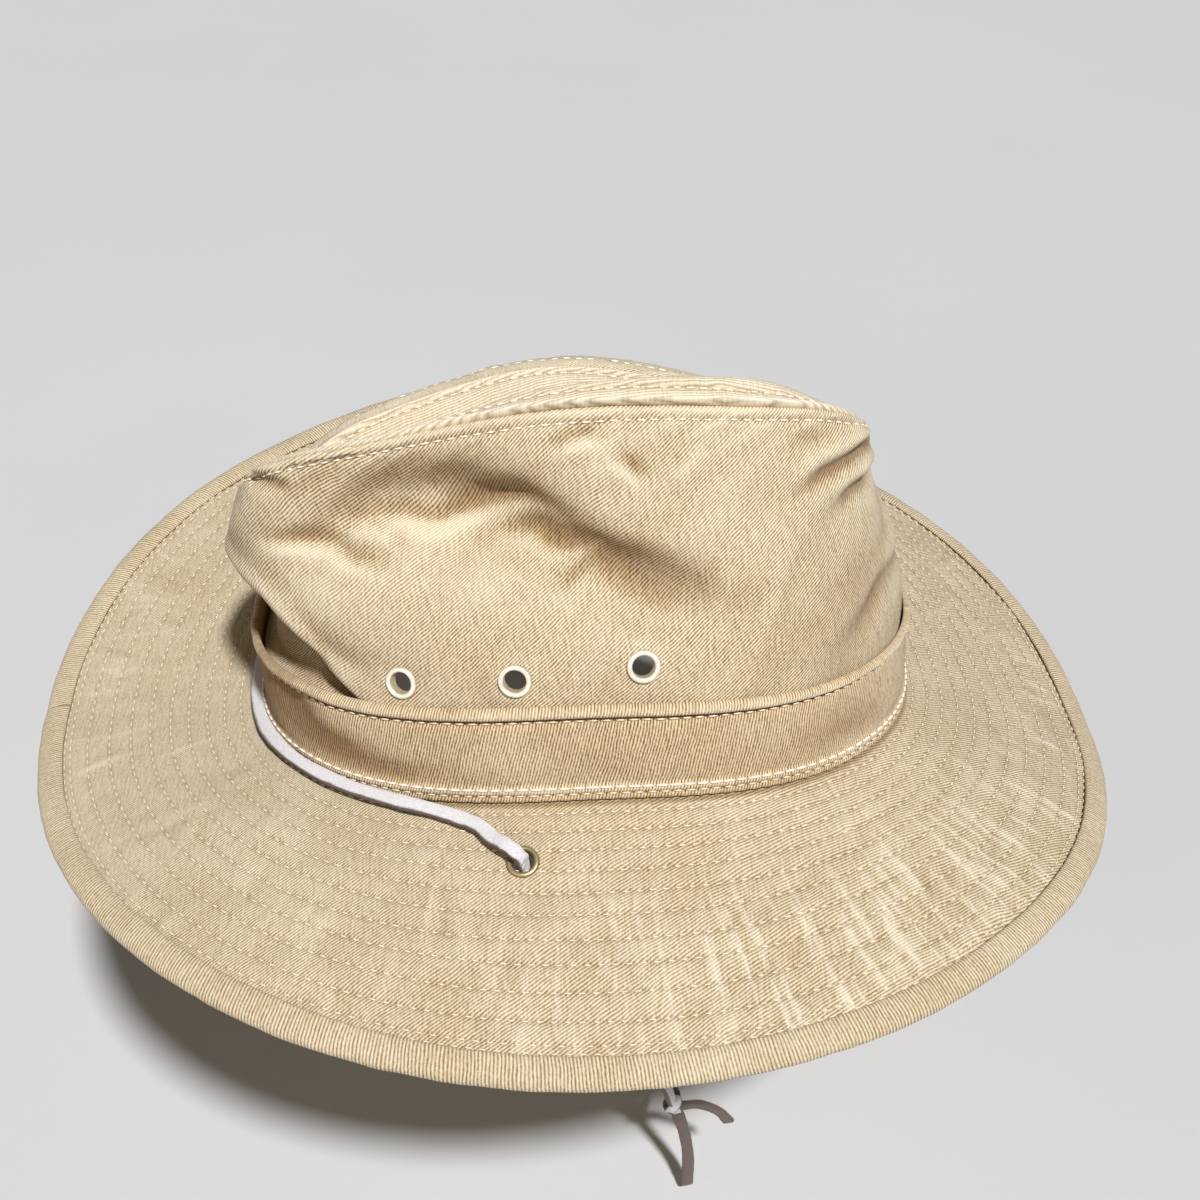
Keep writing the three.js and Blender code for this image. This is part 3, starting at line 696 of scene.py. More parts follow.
BACK_COLUMN, FRONT_COLUMN = COLUMNS // 4, 3 * COLUMNS // 4
climb_steps = np.linalg.norm(np.diff(wall_base, axis=1), axis=-1)
climb = np.concatenate([np.zeros((COLUMNS, 1)), np.cumsum(climb_steps, axis=1)], 1)
round_steps = np.linalg.norm(np.roll(wall_base, -1, 0) - wall_base, axis=-1)
panel_left = np.zeros((COLUMNS, WALL_ROWS))
panel_right = np.zeros((COLUMNS, WALL_ROWS))
for start in (BACK_COLUMN, FRONT_COLUMN):
    columns = np.arange(start, start + COLUMNS // 2) % COLUMNS
    ends = np.cumsum(round_steps[columns], axis=0)
    middle = ends[COLUMNS // 4 - 1]
    panel_right[columns] = ends - middle
    panel_left[columns] = ends - round_steps[columns] - middle


def shell_rows(field):
    """A field of the outside, repeated for the foot and the inner rows."""
    return np.concatenate([field[:, :1], field, field[:, inner_rows], field[:, :1]], 1)


cloth_left = np.stack([shell_rows(panel_left), shell_rows(climb)], -1)
cloth_right = np.stack([shell_rows(panel_right), shell_rows(np.roll(climb, -1, 0))], -1)
# Folds and upward faces fade as wear and painted light; hollows and downward faces darken as painted shade
wall_wear_and_shade = wear_and_shade_of(wall_relief, 20, 0.9) + painted_sky_light(wall_outside, 3)
for at, up, turn_spread, up_spread, strength in PAINTED_SHADE_PATCHES:
    apart = (degrees_between(wall_angle, at) / turn_spread) ** 2 + ((wall_up - up) / up_spread) ** 2
    wall_wear_and_shade -= strength * np.exp(-apart)
crown_wear_and_shade = shell_rows(np.clip(wall_wear_and_shade, -1, 1))
crown_shell = ring_mesh("crown_side", crown_section, cloth_left, crown_wear_and_shade, cloth_right)
print("crown side faces:", len(crown_shell.polygons))

# %% Side of the crown: vent holes
HOLE_RADIUS = 3.5
DRILL_SIDES = 24
PEG_LENGTH = 14


def drill_mesh(spots, normals):
    """Round pegs through the cloth, one at each spot."""
    pegs = bmesh.new()
    radius, length = HOLE_RADIUS * MM, PEG_LENGTH * MM
    for spot, normal in zip(spots, normals):
        made = bmesh.ops.create_cone(
            pegs, cap_ends=True, segments=DRILL_SIDES, radius1=radius, radius2=radius, depth=length)
        turn_to = Vector((0, 0, 1)).rotation_difference(Vector(normal)).to_matrix()
        bmesh.ops.rotate(pegs, verts=made["verts"], matrix=turn_to)
        bmesh.ops.translate(pegs, verts=made["verts"], vec=Vector(spot) * MM)
    mesh = bpy.data.meshes.new("pegs")
    pegs.to_mesh(mesh)
    pegs.free()
    return mesh


def with_holes(name, mesh, pegs):
    """The cloth with the pegs cut out of it, as a plain mesh object."""
    cloth, cutter = add_object(name + "_uncut", mesh), add_object(name + "_pegs", pegs)
    cut = cloth.modifiers.new("holes", "BOOLEAN")
    cut.operation, cut.solver, cut.object = "DIFFERENCE", "MANIFOLD", cutter
    ready = cloth.evaluated_get(bpy.context.evaluated_depsgraph_get())
    result = bpy.data.meshes.new_from_object(ready)
    bpy.data.objects.remove(cloth)
    bpy.data.objects.remove(cutter)
    return add_object(name, result)


vent_normals = [
    normals_of(crown_wall, np.array(angle), np.array(height), 2.0) for angle, height in vent_spots]
crown_side = with_holes("crown_side_cloth", crown_shell, drill_mesh(vent_points, vent_normals))
print("crown side faces with holes:", len(crown_side.data.polygons))

# %% [markdown]
# ## Tip of the crown
#
# The long panel on top hangs in a hollow between its seams. It is a dish: rings of points from the middle
# out to the seam on its top, and back on its underside. Near the seam it swells into a soft lip, drawn in
# again by its own row of stitches.

# %% Tip of the crown
TIP_RINGS = 60
TIP_STITCH = 3.0
TIP_SEED = 21
INNERMOST_RING = 0.02
TIP_LIP = {"from_seam": 1.3, "spread": 0.9, "height": 0.8}
TIP_EDGE = {"spread": 0.5, "depth": 1.3}
TIP_GROOVE = {"spread": 0.7, "depth": 0.35}
TIP_CALM = 10


def tip_spread(angle):
    """Distance from the tip's middle to its seam, measured square to the seam."""
    return (oval(angle, TIP) * outward(angle, TIP)).sum(-1)


tip_angle = np.repeat(ring_angle[:, None], TIP_RINGS, 1)
seam_reach = 1 - SEAM_ROWS[None] / tip_spread(ring_angle)[:, None]
plain_share = np.linspace(INNERMOST_RING, 1, TIP_RINGS - len(SEAM_ROWS), endpoint=False)
tip_reaches = np.concatenate([plain_share[None] * seam_reach[:, :1], seam_reach], 1)
tip_base = crown_tip(tip_angle, tip_reaches)
tip_normal = -normals_of(crown_tip, tip_angle, np.clip(tip_reaches, 0.03, 0.97), 0.01)
inset = (1 - tip_reaches) * tip_spread(tip_angle)
tip_lip = TIP_LIP["height"] * bell(inset - TIP_LIP["from_seam"], TIP_LIP["spread"])
tip_relief = tip_lip - TIP_EDGE["depth"] * bell(inset, TIP_EDGE["spread"])
tip_relief -= TIP_GROOVE["depth"] * bell(inset - TIP_STITCH, TIP_GROOVE["spread"])
tip_waves = rumples(
    tip_base[..., 0], tip_base[..., 1], TIP_SEED, count=14, longest=55, shortest=18, height=0.35)
tip_relief += tip_waves * smooth_step(inset / TIP_CALM)
tip_above = tip_base + tip_normal * tip_relief[..., None]
under_rings = np.arange(TIP_RINGS - 1, -1, -INNER_EVERY)[::-1]
tip_below = (tip_above - tip_normal * CROWN_CLOTH)[:, under_rings]
tip_points = np.concatenate([tip_below, tip_above[:, ::-1]], 1)
# The tip's hollows are painted darker as painted shade, its lips paler as wear and painted light
tip_wear_and_shade = np.concatenate([np.zeros(tip_below.shape[:2]), wear_and_shade_of(tip_relief, 12, 1.1)[:, ::-1]], 1)


def dish_mesh(name, points, wear_and_shade):
    """A dish of rings, closed in the middle of its underside and of its top."""
    columns, rows = points.shape[:2]
    count = columns * rows
    middles = np.stack([points[:, 0].mean(0), points[:, -1].mean(0)])
    column, row = np.meshgrid(np.arange(columns), np.arange(rows - 1), indexing="ij")
    beside = (column + 1) % columns
    here, there = column * rows + row, beside * rows + row
    quads = np.stack([here, there, there + 1, here + 1], -1)
    faces = quads.reshape(-1, 4).tolist()
    for here in range(columns):
        there = (here + 1) % columns
        faces.append([count, there * rows, here * rows])
        faces.append([count + 1, here * rows + rows - 1, there * rows + rows - 1])
    vertices = np.vstack([points.reshape(-1, 3), middles])
    mesh = bpy.data.meshes.new(name)
    mesh.from_pydata((vertices * MM).tolist(), [], faces)
    order = np.concatenate([np.asarray(face) for face in faces])
    set_cloth(mesh, vertices[order][:, (1, 0)] * (-1, 1), np.append(wear_and_shade.ravel(), (0, 0)))
    return mesh


crown_top = add_object("crown_tip_cloth", dish_mesh("crown_tip_cloth", tip_points, tip_wear_and_shade))
print("crown tip faces:", len(crown_top.data.polygons))

# %% [markdown]
# ## Hat band
#
# The band is a folded strip. Its top edge is a small roll over a deep stitched groove, and along its foot
# lies a narrow sewn strip whose lip waves a little from stitch to stitch. All of this shows in the section,
# so the section is drawn once as heights and as distances out of the crown, and carried round with small
# waves.

# %% Hat band
# Height and distance out of the crown, up the outer side and down the inner one
BAND_SECTION = (
    (0.4, 1.4), (0.5, 2.1), (0.9, 2.5), (1.5, 2.6), (2.1, 2.5), (2.5, 2.25), (2.8, 2.1), (3.1, 2.3),
    (3.6, 2.55), (4.2, 2.55), (4.7, 2.3), (5.0, 2.1), (5.3, 1.75), (5.7, 1.5), (6.4, 1.6), (8.0, 1.75),
    (11.0, 1.8), (14.0, 1.85), (17.0, 1.85), (20.0, 1.8), (22.5, 1.75), (23.9, 1.65), (24.6, 1.35),
    (24.95, 0.9), (25.2, 0.7), (25.45, 0.95), (25.75, 1.75), (26.2, 2.4), (26.8, 2.75), (27.5, 2.85),
    (28.2, 2.7), (28.7, 2.35), (29.05, 1.8), (29.1, 1.1), (28.7, 0.5), (20.0, 0.45), (10.0, 0.45),
    (0.4, 0.45),
)
BAND_OUTER = 33
BAND_TOP = 29.1
BAND_SEED = 31
ROLL_ROW, FOOT_ROW, STRIP_ROW = 25.2, 2.8, 4.95
# The thread under the roll bridges its groove
ROLL_SEWN, ROLL_LIFT = 24.95, 0.55
SCALLOPS = {"length": 4.1, "height": 0.13, "at": 1.3, "spread": 0.9}
# Heights where the strip ends and where the roll begins, and over how much each passes into the plain cloth
STRIP_TOP, STRIP_BLEND = 5, 4
ROLL_FOOT, ROLL_BLEND = 24, 2
# Crests of the roll and of the strip, which rub pale
ROLL_CREST, STRIP_CREST = 27.4, 4.0
# Towards the front the roll is pressed thinner, between two angles and above a height
PRESSED = {"share": 0.36, "start": 190, "rise": 50, "end": 350, "fall": 40, "above": 16, "blend": 7}
# Soft hollows of the band: degrees, height, spread in degrees, spread in height, depth
BAND_HOLLOWS = ((125, 19, 6, 6, 1.3), (134, 13, 8, 4.5, 1.3), (146, 9, 8, 3.5, 0.8), (222, 13, 9, 5, 0.5))
# Painted shadow on the band where the crown's back fold hangs over it
FOLD_SHADOW_ON_BAND = {"degrees": 113, "spread": 18, "strength": 0.9}


def near_height(height, spread):
    """How near each row of the band lies to a height, from 1 to 0."""
    return bell(band_up - height, spread)[None]


band_up = np.array([row[0] for row in BAND_SECTION])
band_out = np.array([row[1] for row in BAND_SECTION])
band_angle = np.repeat(ring_angle[:, None], len(band_up), 1)
head_round = arc_length(np.concatenate([oval(ring_angle, HEAD), np.zeros((COLUMNS, 1))], -1))
band_along = np.repeat(head_round[:-1, None], len(band_up), 1)
band_waves = rumples(band_along, band_up[None], BAND_SEED, count=12, longest=46, shortest=16, height=0.28)
roll_waves = rumples(
    band_along, 0 * band_up[None], BAND_SEED + 1, count=9, longest=19, shortest=6, height=0.16)
rolled = smooth_step((band_up - ROLL_FOOT) / ROLL_BLEND)[None]
ring_degrees = np.degrees(ring_angle)
pressed = PRESSED["share"] * smooth_step((ring_degrees - PRESSED["start"]) / PRESSED["rise"])
pressed = pressed * smooth_step((PRESSED["end"] - ring_degrees) / PRESSED["fall"])
gives = smooth_step((band_up - PRESSED["above"]) / PRESSED["blend"])[None]
band_high = band_up[None] + pressed[:, None] * (BAND_TOP - band_up[None]) * gives
above_strip = smooth_step((band_up - STRIP_TOP) / STRIP_BLEND)[None]
band_relief = band_waves * above_strip * (1 - 0.6 * rolled) + roll_waves * rolled
scallops = SCALLOPS["height"] * np.cos(band_along * TURN / SCALLOPS["length"])
band_relief += scallops * near_height(SCALLOPS["at"], SCALLOPS["spread"])
band_sunk = np.zeros_like(band_relief)
for at, up, turn_spread, up_spread, deep in BAND_HOLLOWS:
    band_sunk += deep * bell(degrees_between(band_angle, at), turn_spread) * near_height(up, up_spread)
band_relief -= band_sunk
band_relief[:, BAND_OUTER:] = 0
band_lift = band_relief * 0.5 * rolled
band_points = crown_wall(band_angle, band_high) + np.concatenate([
    outward(band_angle) * (band_out[None] + band_relief)[..., None], band_lift[..., None]], -1)
band_cloth = np.stack([band_along, np.repeat(band_up[None], COLUMNS, 0)], -1)
band_cloth_right = np.stack([np.repeat(head_round[1:, None], len(band_up), 1), band_cloth[..., 1]], -1)
# Painted shade in the groove under the roll, at the foot's stitch row and along the contact with the brim
shaded_seams = near_height(ROLL_ROW, 0.5) + 0.5 * near_height(FOOT_ROW, 0.4) + near_height(0.4, 0.4)
rubbed = 0.8 * near_height(ROLL_CREST, 1.4) + 0.5 * near_height(STRIP_CREST, 0.8)
# The band's hollows are painted darker as painted shade
band_wear_and_shade = wear_and_shade_of(band_relief, 8, 1.5) * 0.6 - shaded_seams * 0.9 + rubbed - 0.75 * band_sunk
fold_shadow = bell(degrees_between(band_angle, FOLD_SHADOW_ON_BAND["degrees"]), FOLD_SHADOW_ON_BAND["spread"])
band_wear_and_shade -= FOLD_SHADOW_ON_BAND["strength"] * fold_shadow
band_sheet = ring_mesh("hat_band_cloth", band_points, band_cloth, band_wear_and_shade, band_cloth_right)
hat_band = add_object("hat_band_cloth", band_sheet)
print("hat band faces:", len(hat_band.data.polygons))

# %% [markdown]
# ## Brim
#
# Two layers of twill are quilted together by rows of stitches, which stiffen the brim. Each row draws the
# cloth into a shallow groove, and short puckers cross the rows. The grooves are real relief in the grid, so
# they catch the light, and the underside has them too.

# %% Brim
ROWS_OF_STITCHES = (3.7, 9.0, 14.6, 20.5, 26.7, 32.8, 39.6, 46.2, 53.4, 60.8, 66.8, 68.8)
ROW_WIDTH = 78.0
BINDING_CLOTH = 0.9
BRIM_ROWS = 108
UNDER_ROWS = 40
BRIM_SEED = 41
ROW_GROOVE = {"depth": 0.3, "spread": 0.85}
# Least and greatest distance out, width, length and height of the puckers, and their slant across the rows
PUCKERS = {"count": 260, "out": (12, 70), "width": (1.4, 3.4), "length": (4, 11), "height": (-0.3, 0.42)}
PUCKER_SLANT = 0.35
HEAD_MEAN = 92
WAVES_START, WAVES_OVER = 8, 20
# The relief fades in from the brim's inner edge, and is cleared round the cord holes
EDGE_BLEND = 3
CLEAR_ABOVE, CLEAR_BELOW = 6, 7
# Painted shade along the brim's foot, where it meets the band: its reach and spread
SHADED_FOOT = {"reach": 0.8, "spread": 0.9}
CORD_HOLE = {"turn": 11.3, "reach": 17.6}


def brim_relief(angle, reach, along, seed):
    """Grooves of the stitch rows, puckers across them and soft waves."""
    scaled = reach * ROW_WIDTH / around(angle, BRIM_WIDTH)
    relief = np.zeros_like(reach)
    for row in ROWS_OF_STITCHES:
        relief -= ROW_GROOVE["depth"] * bell(scaled - row, ROW_GROOVE["spread"])
    random = np.random.default_rng(seed)
    for _ in range(PUCKERS["count"]):
        at = random.uniform(0, TURN)
        out, width, length, height = (
            random.uniform(*PUCKERS[measure]) for measure in ("out", "width", "length", "height"))
        slant = random.normal(0, PUCKER_SLANT)
        turned = (np.mod(angle - at + math.pi, TURN) - math.pi) * (HEAD_MEAN + out)
        beside = turned - (scaled - out) * slant
        relief += height * np.exp(-((beside / width) ** 2) - ((scaled - out) / length) ** 2)
    waves = rumples(along, reach, seed + 1, count=10, longest=90, shortest=35, height=0.45)
    return relief + waves * smooth_step((scaled - WAVES_START) / WAVES_OVER)


def brim_layer(rows, lift, seed, clear):
    """One face of the brim: its reach, its plain points, the way up out of them, and its relief."""
    start, end = GAP - BAND_REACH, around(ring_angle, BRIM_WIDTH) - BINDING_CLOTH - GAP
    share = np.linspace(0, 1, rows)[None]
    reach = start + share * (end[:, None] - start)
    angle = np.repeat(ring_angle[:, None], rows, 1)
    base = brim_top(angle, reach, lift)
    relief = brim_relief(angle, reach, arc_length(base)[:-1], seed)
    relief *= smooth_step((reach - start) / EDGE_BLEND)
    for spot in cord_points:
        relief *= 1 - np.exp(-((np.linalg.norm(base - spot, axis=-1) / clear) ** 4))
    return reach, base, -normals_of(brim_top, angle, reach, 0.5), relief


cord_spots = [(side_angle(side, CORD_HOLE["turn"]), CORD_HOLE["reach"]) for side in ("right", "left")]
cord_points = [brim_top(angle, reach) for angle, reach in cord_spots]
cord_normals = [-normals_of(brim_top, np.array(angle), np.array(reach), 2.0) for angle, reach in cord_spots]

top_reach, top_base, top_normal, top_relief = brim_layer(BRIM_ROWS, 0.0, BRIM_SEED, CLEAR_ABOVE)
under_reach, under_base, under_normal, under_relief = brim_layer(
    UNDER_ROWS, -BRIM_CLOTH, BRIM_SEED + 2, CLEAR_BELOW)
top_points = top_base + top_normal * top_relief[..., None]
under_points = under_base - under_normal * under_relief[..., None]
brim_points = np.concatenate([under_points, top_points[:, ::-1]], 1)
# The brim's hollows and foot are painted darker as painted shade, raised places paler as wear and light
top_wear_and_shade = wear_and_shade_of(top_relief, 8, 1.6) - bell(top_reach - SHADED_FOOT["reach"], SHADED_FOOT["spread"])
brim_wear_and_shade = np.concatenate([wear_and_shade_of(under_relief, 6, 1.6), top_wear_and_shade[:, ::-1]], 1)
brim_cloth = brim_points[..., (1, 0)] * (-1, 1)
brim_sheet = ring_mesh("brim", brim_points, brim_cloth, brim_wear_and_shade)
brim = with_holes("brim_cloth", brim_sheet, drill_mesh(cord_points, cord_normals))
print("brim faces:", len(brim.data.polygons))

# %% [markdown]
# ## Node trees
#
# A node tree is a small program that Blender runs on a mesh. Three follow below: one sweeps the tape along
# the edge of the brim, one sets an eyelet on each marked point, and one lays stitches along rows. Each tree
# has named inputs for what it is given, and its result is turned into a plain mesh, so nothing live is left.

# %% Node trees: helpers
def new_tree(name, inputs):
    """An empty tree with a geometry input and output, and named inputs."""
    tree = bpy.data.node_groups.new(name, "GeometryNodeTree")
    tree.interface.new_socket("Geometry", in_out="INPUT", socket_type="NodeSocketGeometry")
    for label, kind in inputs:
        tree.interface.new_socket(label, in_out="INPUT", socket_type="NodeSocket" + kind)
    tree.interface.new_socket("Geometry", in_out="OUTPUT", socket_type="NodeSocketGeometry")
    return tree, tree.nodes.new("NodeGroupInput"), tree.nodes.new("NodeGroupOutput")


def feed(tree, socket, value):
    """Link another node's output to a socket, or set the socket's own value."""
    if isinstance(value, bpy.types.NodeSocket):
        tree.links.new(value, socket)
    else:
        socket.default_value = value


def add_node(tree, kind, values=None, **settings):
    """A node with its settings, and with values or links for its inputs by name."""
    node = tree.nodes.new(kind)
    for setting, value in settings.items():
        setattr(node, setting, value)
    for label, value in (values or {}).items():
        feed(tree, node.inputs[label], value)
    return node


def stored_way_out(tree):
    """The way out of the cloth that every point of a line carries."""
    stored = add_node(tree, "GeometryNodeInputNamedAttribute", {"Name": "way_out"}, data_type="FLOAT_VECTOR")
    return stored.outputs["Attribute"]


def end_tree(tree, result, geometry, material):
    """End a tree: its instances become real faces and get their material."""
    real = add_node(tree, "GeometryNodeRealizeInstances", {"Geometry": geometry})
    dressed = add_node(tree, "GeometryNodeSetMaterial", {
        "Geometry": real.outputs["Geometry"], "Material": material})
    tree.links.new(dressed.outputs["Geometry"], result.inputs["Geometry"])
    return tree


def grown(name, rows, tree, sizes):
    """Run a tree on a mesh and keep the result as a plain mesh object."""
    carrier = add_object(name + "_rows", rows)
    modifier = carrier.modifiers.new("nodes", "NODES")
    modifier.node_group = tree
    for item in tree.interface.items_tree:
        if item.item_type == "SOCKET" and item.in_out == "INPUT" and item.name in sizes:
            modifier[item.identifier] = sizes[item.name]
    ready = carrier.evaluated_get(bpy.context.evaluated_depsgraph_get())
    mesh = bpy.data.meshes.new_from_object(ready)
    bpy.data.objects.remove(carrier)
    return add_object(name, mesh)


def line_mesh(name, lines, ups=None, closed=True):
    """Lines of points in millimetres as a mesh of edges, each point with the way out of the cloth."""
    vertices, edges = [], []
    for line in lines:
        start, count = len(vertices), len(line)
        vertices.extend((np.asarray(line) * MM).tolist())
        edges.extend((start + step, start + step + 1) for step in range(count - 1))
        if closed:
            edges.append((start + count - 1, start))
    mesh = bpy.data.meshes.new(name)
    mesh.from_pydata(vertices, edges, [])
    if ups is not None:
        attribute = mesh.attributes.new("way_out", "FLOAT_VECTOR", "POINT")
        attribute.data.foreach_set("vector", np.concatenate(ups).astype(np.float32).ravel())
    return mesh


print("helpers for node trees are ready")

# %% [markdown]
# ## Finishes of the cloth
#
# All cloth is one khaki twill, faded by sun and washing. Twill shows as fine slanted ribs, the wales. They
# are drawn as a wave across the cloth map, with a little wander, thin dark grooves and uneven yarns along
# each wale. Raised places and places that face up are painted paler, partly as wear and partly as painted
# light. Hollows and places that face down are painted browner, as painted shade. The same wave feeds the
# bump, so light and colour agree. Every setting that is the same all over is put on the shader itself.

# %% Finishes of the cloth: helpers
def shader_tree(name):
    material = bpy.data.materials.new(name)
    material.use_nodes = True
    tree = material.node_tree
    tree.nodes.clear()
    output = tree.nodes.new("ShaderNodeOutputMaterial")
    shader = tree.nodes.new("ShaderNodeBsdfPrincipled")
    tree.links.new(shader.outputs["BSDF"], output.inputs["Surface"])
    return material, tree, shader


def math_node(tree, operation, *inputs):
    node = tree.nodes.new("ShaderNodeMath")
    node.operation = operation
    for socket, value in zip(node.inputs, inputs):
        feed(tree, socket, value)
    return node.outputs[0]


def mix_colours(tree, share, first, second, blend="MIX"):
    node = tree.nodes.new("ShaderNodeMix")
    node.data_type, node.blend_type = "RGBA", blend
    for socket, value in zip((node.inputs[0], node.inputs[6], node.inputs[7]), (share, first, second)):
        feed(tree, socket, (*value, 1) if isinstance(value, tuple) else value)
    return node.outputs[2]


def noise(tree, place, scale, detail=2.0, roughness=0.5):
    return add_node(tree, "ShaderNodeTexNoise", {
        "Vector": place, "Scale": scale, "Detail": detail, "Roughness": roughness}).outputs["Fac"]


def stretched(tree, place, turn_degrees, scale):
    """A place turned on the cloth and stretched, for marks that run along the yarns."""
    return add_node(tree, "ShaderNodeMapping", {
        "Vector": place, "Rotation": (0, 0, math.radians(turn_degrees)), "Scale": scale}).outputs["Vector"]


def add_bump(tree, shader, height, strength, distance):
    bump = add_node(tree, "ShaderNodeBump", {"Height": height, "Strength": strength, "Distance": distance})
    tree.links.new(bump.outputs["Normal"], shader.inputs["Normal"])


def set_shader(shader, values):
    for label, value in values.items():
        shader.inputs[label].default_value = value


print("helpers for finishes are ready")

# %% Finishes of the cloth: twill
# The wales wander, and their crests are broader than their grooves
WANDER_SCALE, WANDER = 0.09, 1.6
WALE_POWER = 0.6
# Yarns: how their two noises are stretched across and along the wales, and how uneven and raised they are
STREAK_STRETCH, SLUB_STRETCH = (1.7, 0.16, 1), (1.4, 0.9, 1)
UNEVENNESS_OF_YARN, SLUB_RISE = 1.3, 1.6
# Fading in broad clouds, by wear and painted light, and as painted highlight on ridges; how dark a groove
# stays when faded; and how strongly hollows take the painted shade tint
FADE_SCALE, FADE_GAIN, FADE_START = 0.03, 1.3, -0.4
WEAR_AND_LIGHT_FADES, RIDGE_HIGHLIGHT = 0.7, 0.9
GROOVE_LEFT, SHADE_GAIN = 0.4, 0.9
# Ridges of the brim: how far they stand out, how many there are round and out, and where they are strongest
RIDGE_RISE = 2.2
RIDGES_ROUND = 40.0
RIDGES_OUT = 3.0
RIDGES_AT = math.radians(222)


def clamped(tree, value):
    return add_node(tree, "ShaderNodeClamp", {"Value": value}).outputs[0]


def cloth_place(tree):
    """Millimetres on the flat cloth, from the piece's own map."""
    return add_node(tree, "ShaderNodeUVMap", uv_map="cloth").outputs["UV"]


def twill(name, slant, pitch, colours, place=cloth_place, ridges=None, relief=0.2):
    """Cotton twill with wales that climb at a slant in degrees, a pitch in millimetres."""
    groove, yarn, faded, shade_tint = colours
    material, tree, shader = shader_tree(name)
    spot = place(tree)
    # First axis across the wales, second along them
    on_wales = stretched(tree, spot, 90 - slant, (1, 1, 1))
    turned = add_node(tree, "ShaderNodeSeparateXYZ", {"Vector": on_wales})
    wander = math_node(tree, "MULTIPLY", noise(tree, spot, WANDER_SCALE), WANDER)
    across = math_node(tree, "ADD", turned.outputs["X"], wander)
    wave = math_node(tree, "SINE", math_node(tree, "MULTIPLY", across, TURN / pitch))
    wale = math_node(tree, "POWER", math_node(tree, "MULTIPLY_ADD", wave, 0.5, 0.5), WALE_POWER)
    streaks = noise(tree, stretched(tree, spot, 90 - slant, STREAK_STRETCH), 1.0, 3.0, 0.6)
    slubs = noise(tree, stretched(tree, spot, 90 - slant, SLUB_STRETCH), 1.0, 2.0, 0.7)
    uneven_streaks, uneven_slubs = (
        math_node(tree, "MULTIPLY_ADD", yarns, UNEVENNESS_OF_YARN, -UNEVENNESS_OF_YARN / 2)
        for yarns in (streaks, slubs))
    uneven = math_node(tree, "ADD", uneven_streaks, uneven_slubs)
    wear_shade_mark = add_node(tree, "ShaderNodeAttribute", attribute_name="wear_and_shade").outputs["Fac"]
    clouds = noise(tree, spot, FADE_SCALE, 3.0, 0.55)
    fade = math_node(tree, "MULTIPLY_ADD", clouds, FADE_GAIN, FADE_START)
    # Raised and upward places fade paler, partly as wear and partly as painted light
    fade = math_node(tree, "ADD", fade, math_node(tree, "MULTIPLY", wear_shade_mark, WEAR_AND_LIGHT_FADES))
    height = math_node(tree, "ADD", wale, math_node(tree, "MULTIPLY", slubs, SLUB_RISE))
    # The brim's ridges are raised in the bump and painted paler, as painted highlight
    if ridges:
        raised = ridges(tree)
        fade = math_node(tree, "ADD", fade, math_node(tree, "MULTIPLY", raised, RIDGE_HIGHLIGHT))
        height = math_node(tree, "ADD", height, math_node(tree, "MULTIPLY", raised, RIDGE_RISE))
    fade = clamped(tree, fade)
    thread = mix_colours(tree, fade, yarn, faded)
    rubbed = tuple(GROOVE_LEFT * dark + (1 - GROOVE_LEFT) * pale for dark, pale in zip(groove, faded))
    shallow = mix_colours(tree, math_node(tree, "POWER", fade, 2.0), groove, rubbed)
    colour = mix_colours(tree, clamped(tree, math_node(tree, "ADD", wale, uneven)), shallow, thread)
    # Hollows and downward faces are tinted darker as painted shade
    hollow_shade = clamped(tree, math_node(tree, "MULTIPLY", wear_shade_mark, -SHADE_GAIN))
    colour = mix_colours(tree, hollow_shade, colour, shade_tint, "MULTIPLY")
    tree.links.new(colour, shader.inputs["Base Color"])
    add_bump(tree, shader, height, 1.0, relief * MM)
    set_shader(shader, {
        "Roughness": 0.93, "Specular IOR Level": 0.2, "Sheen Weight": 0.12, "Sheen Roughness": 0.55})
    return material


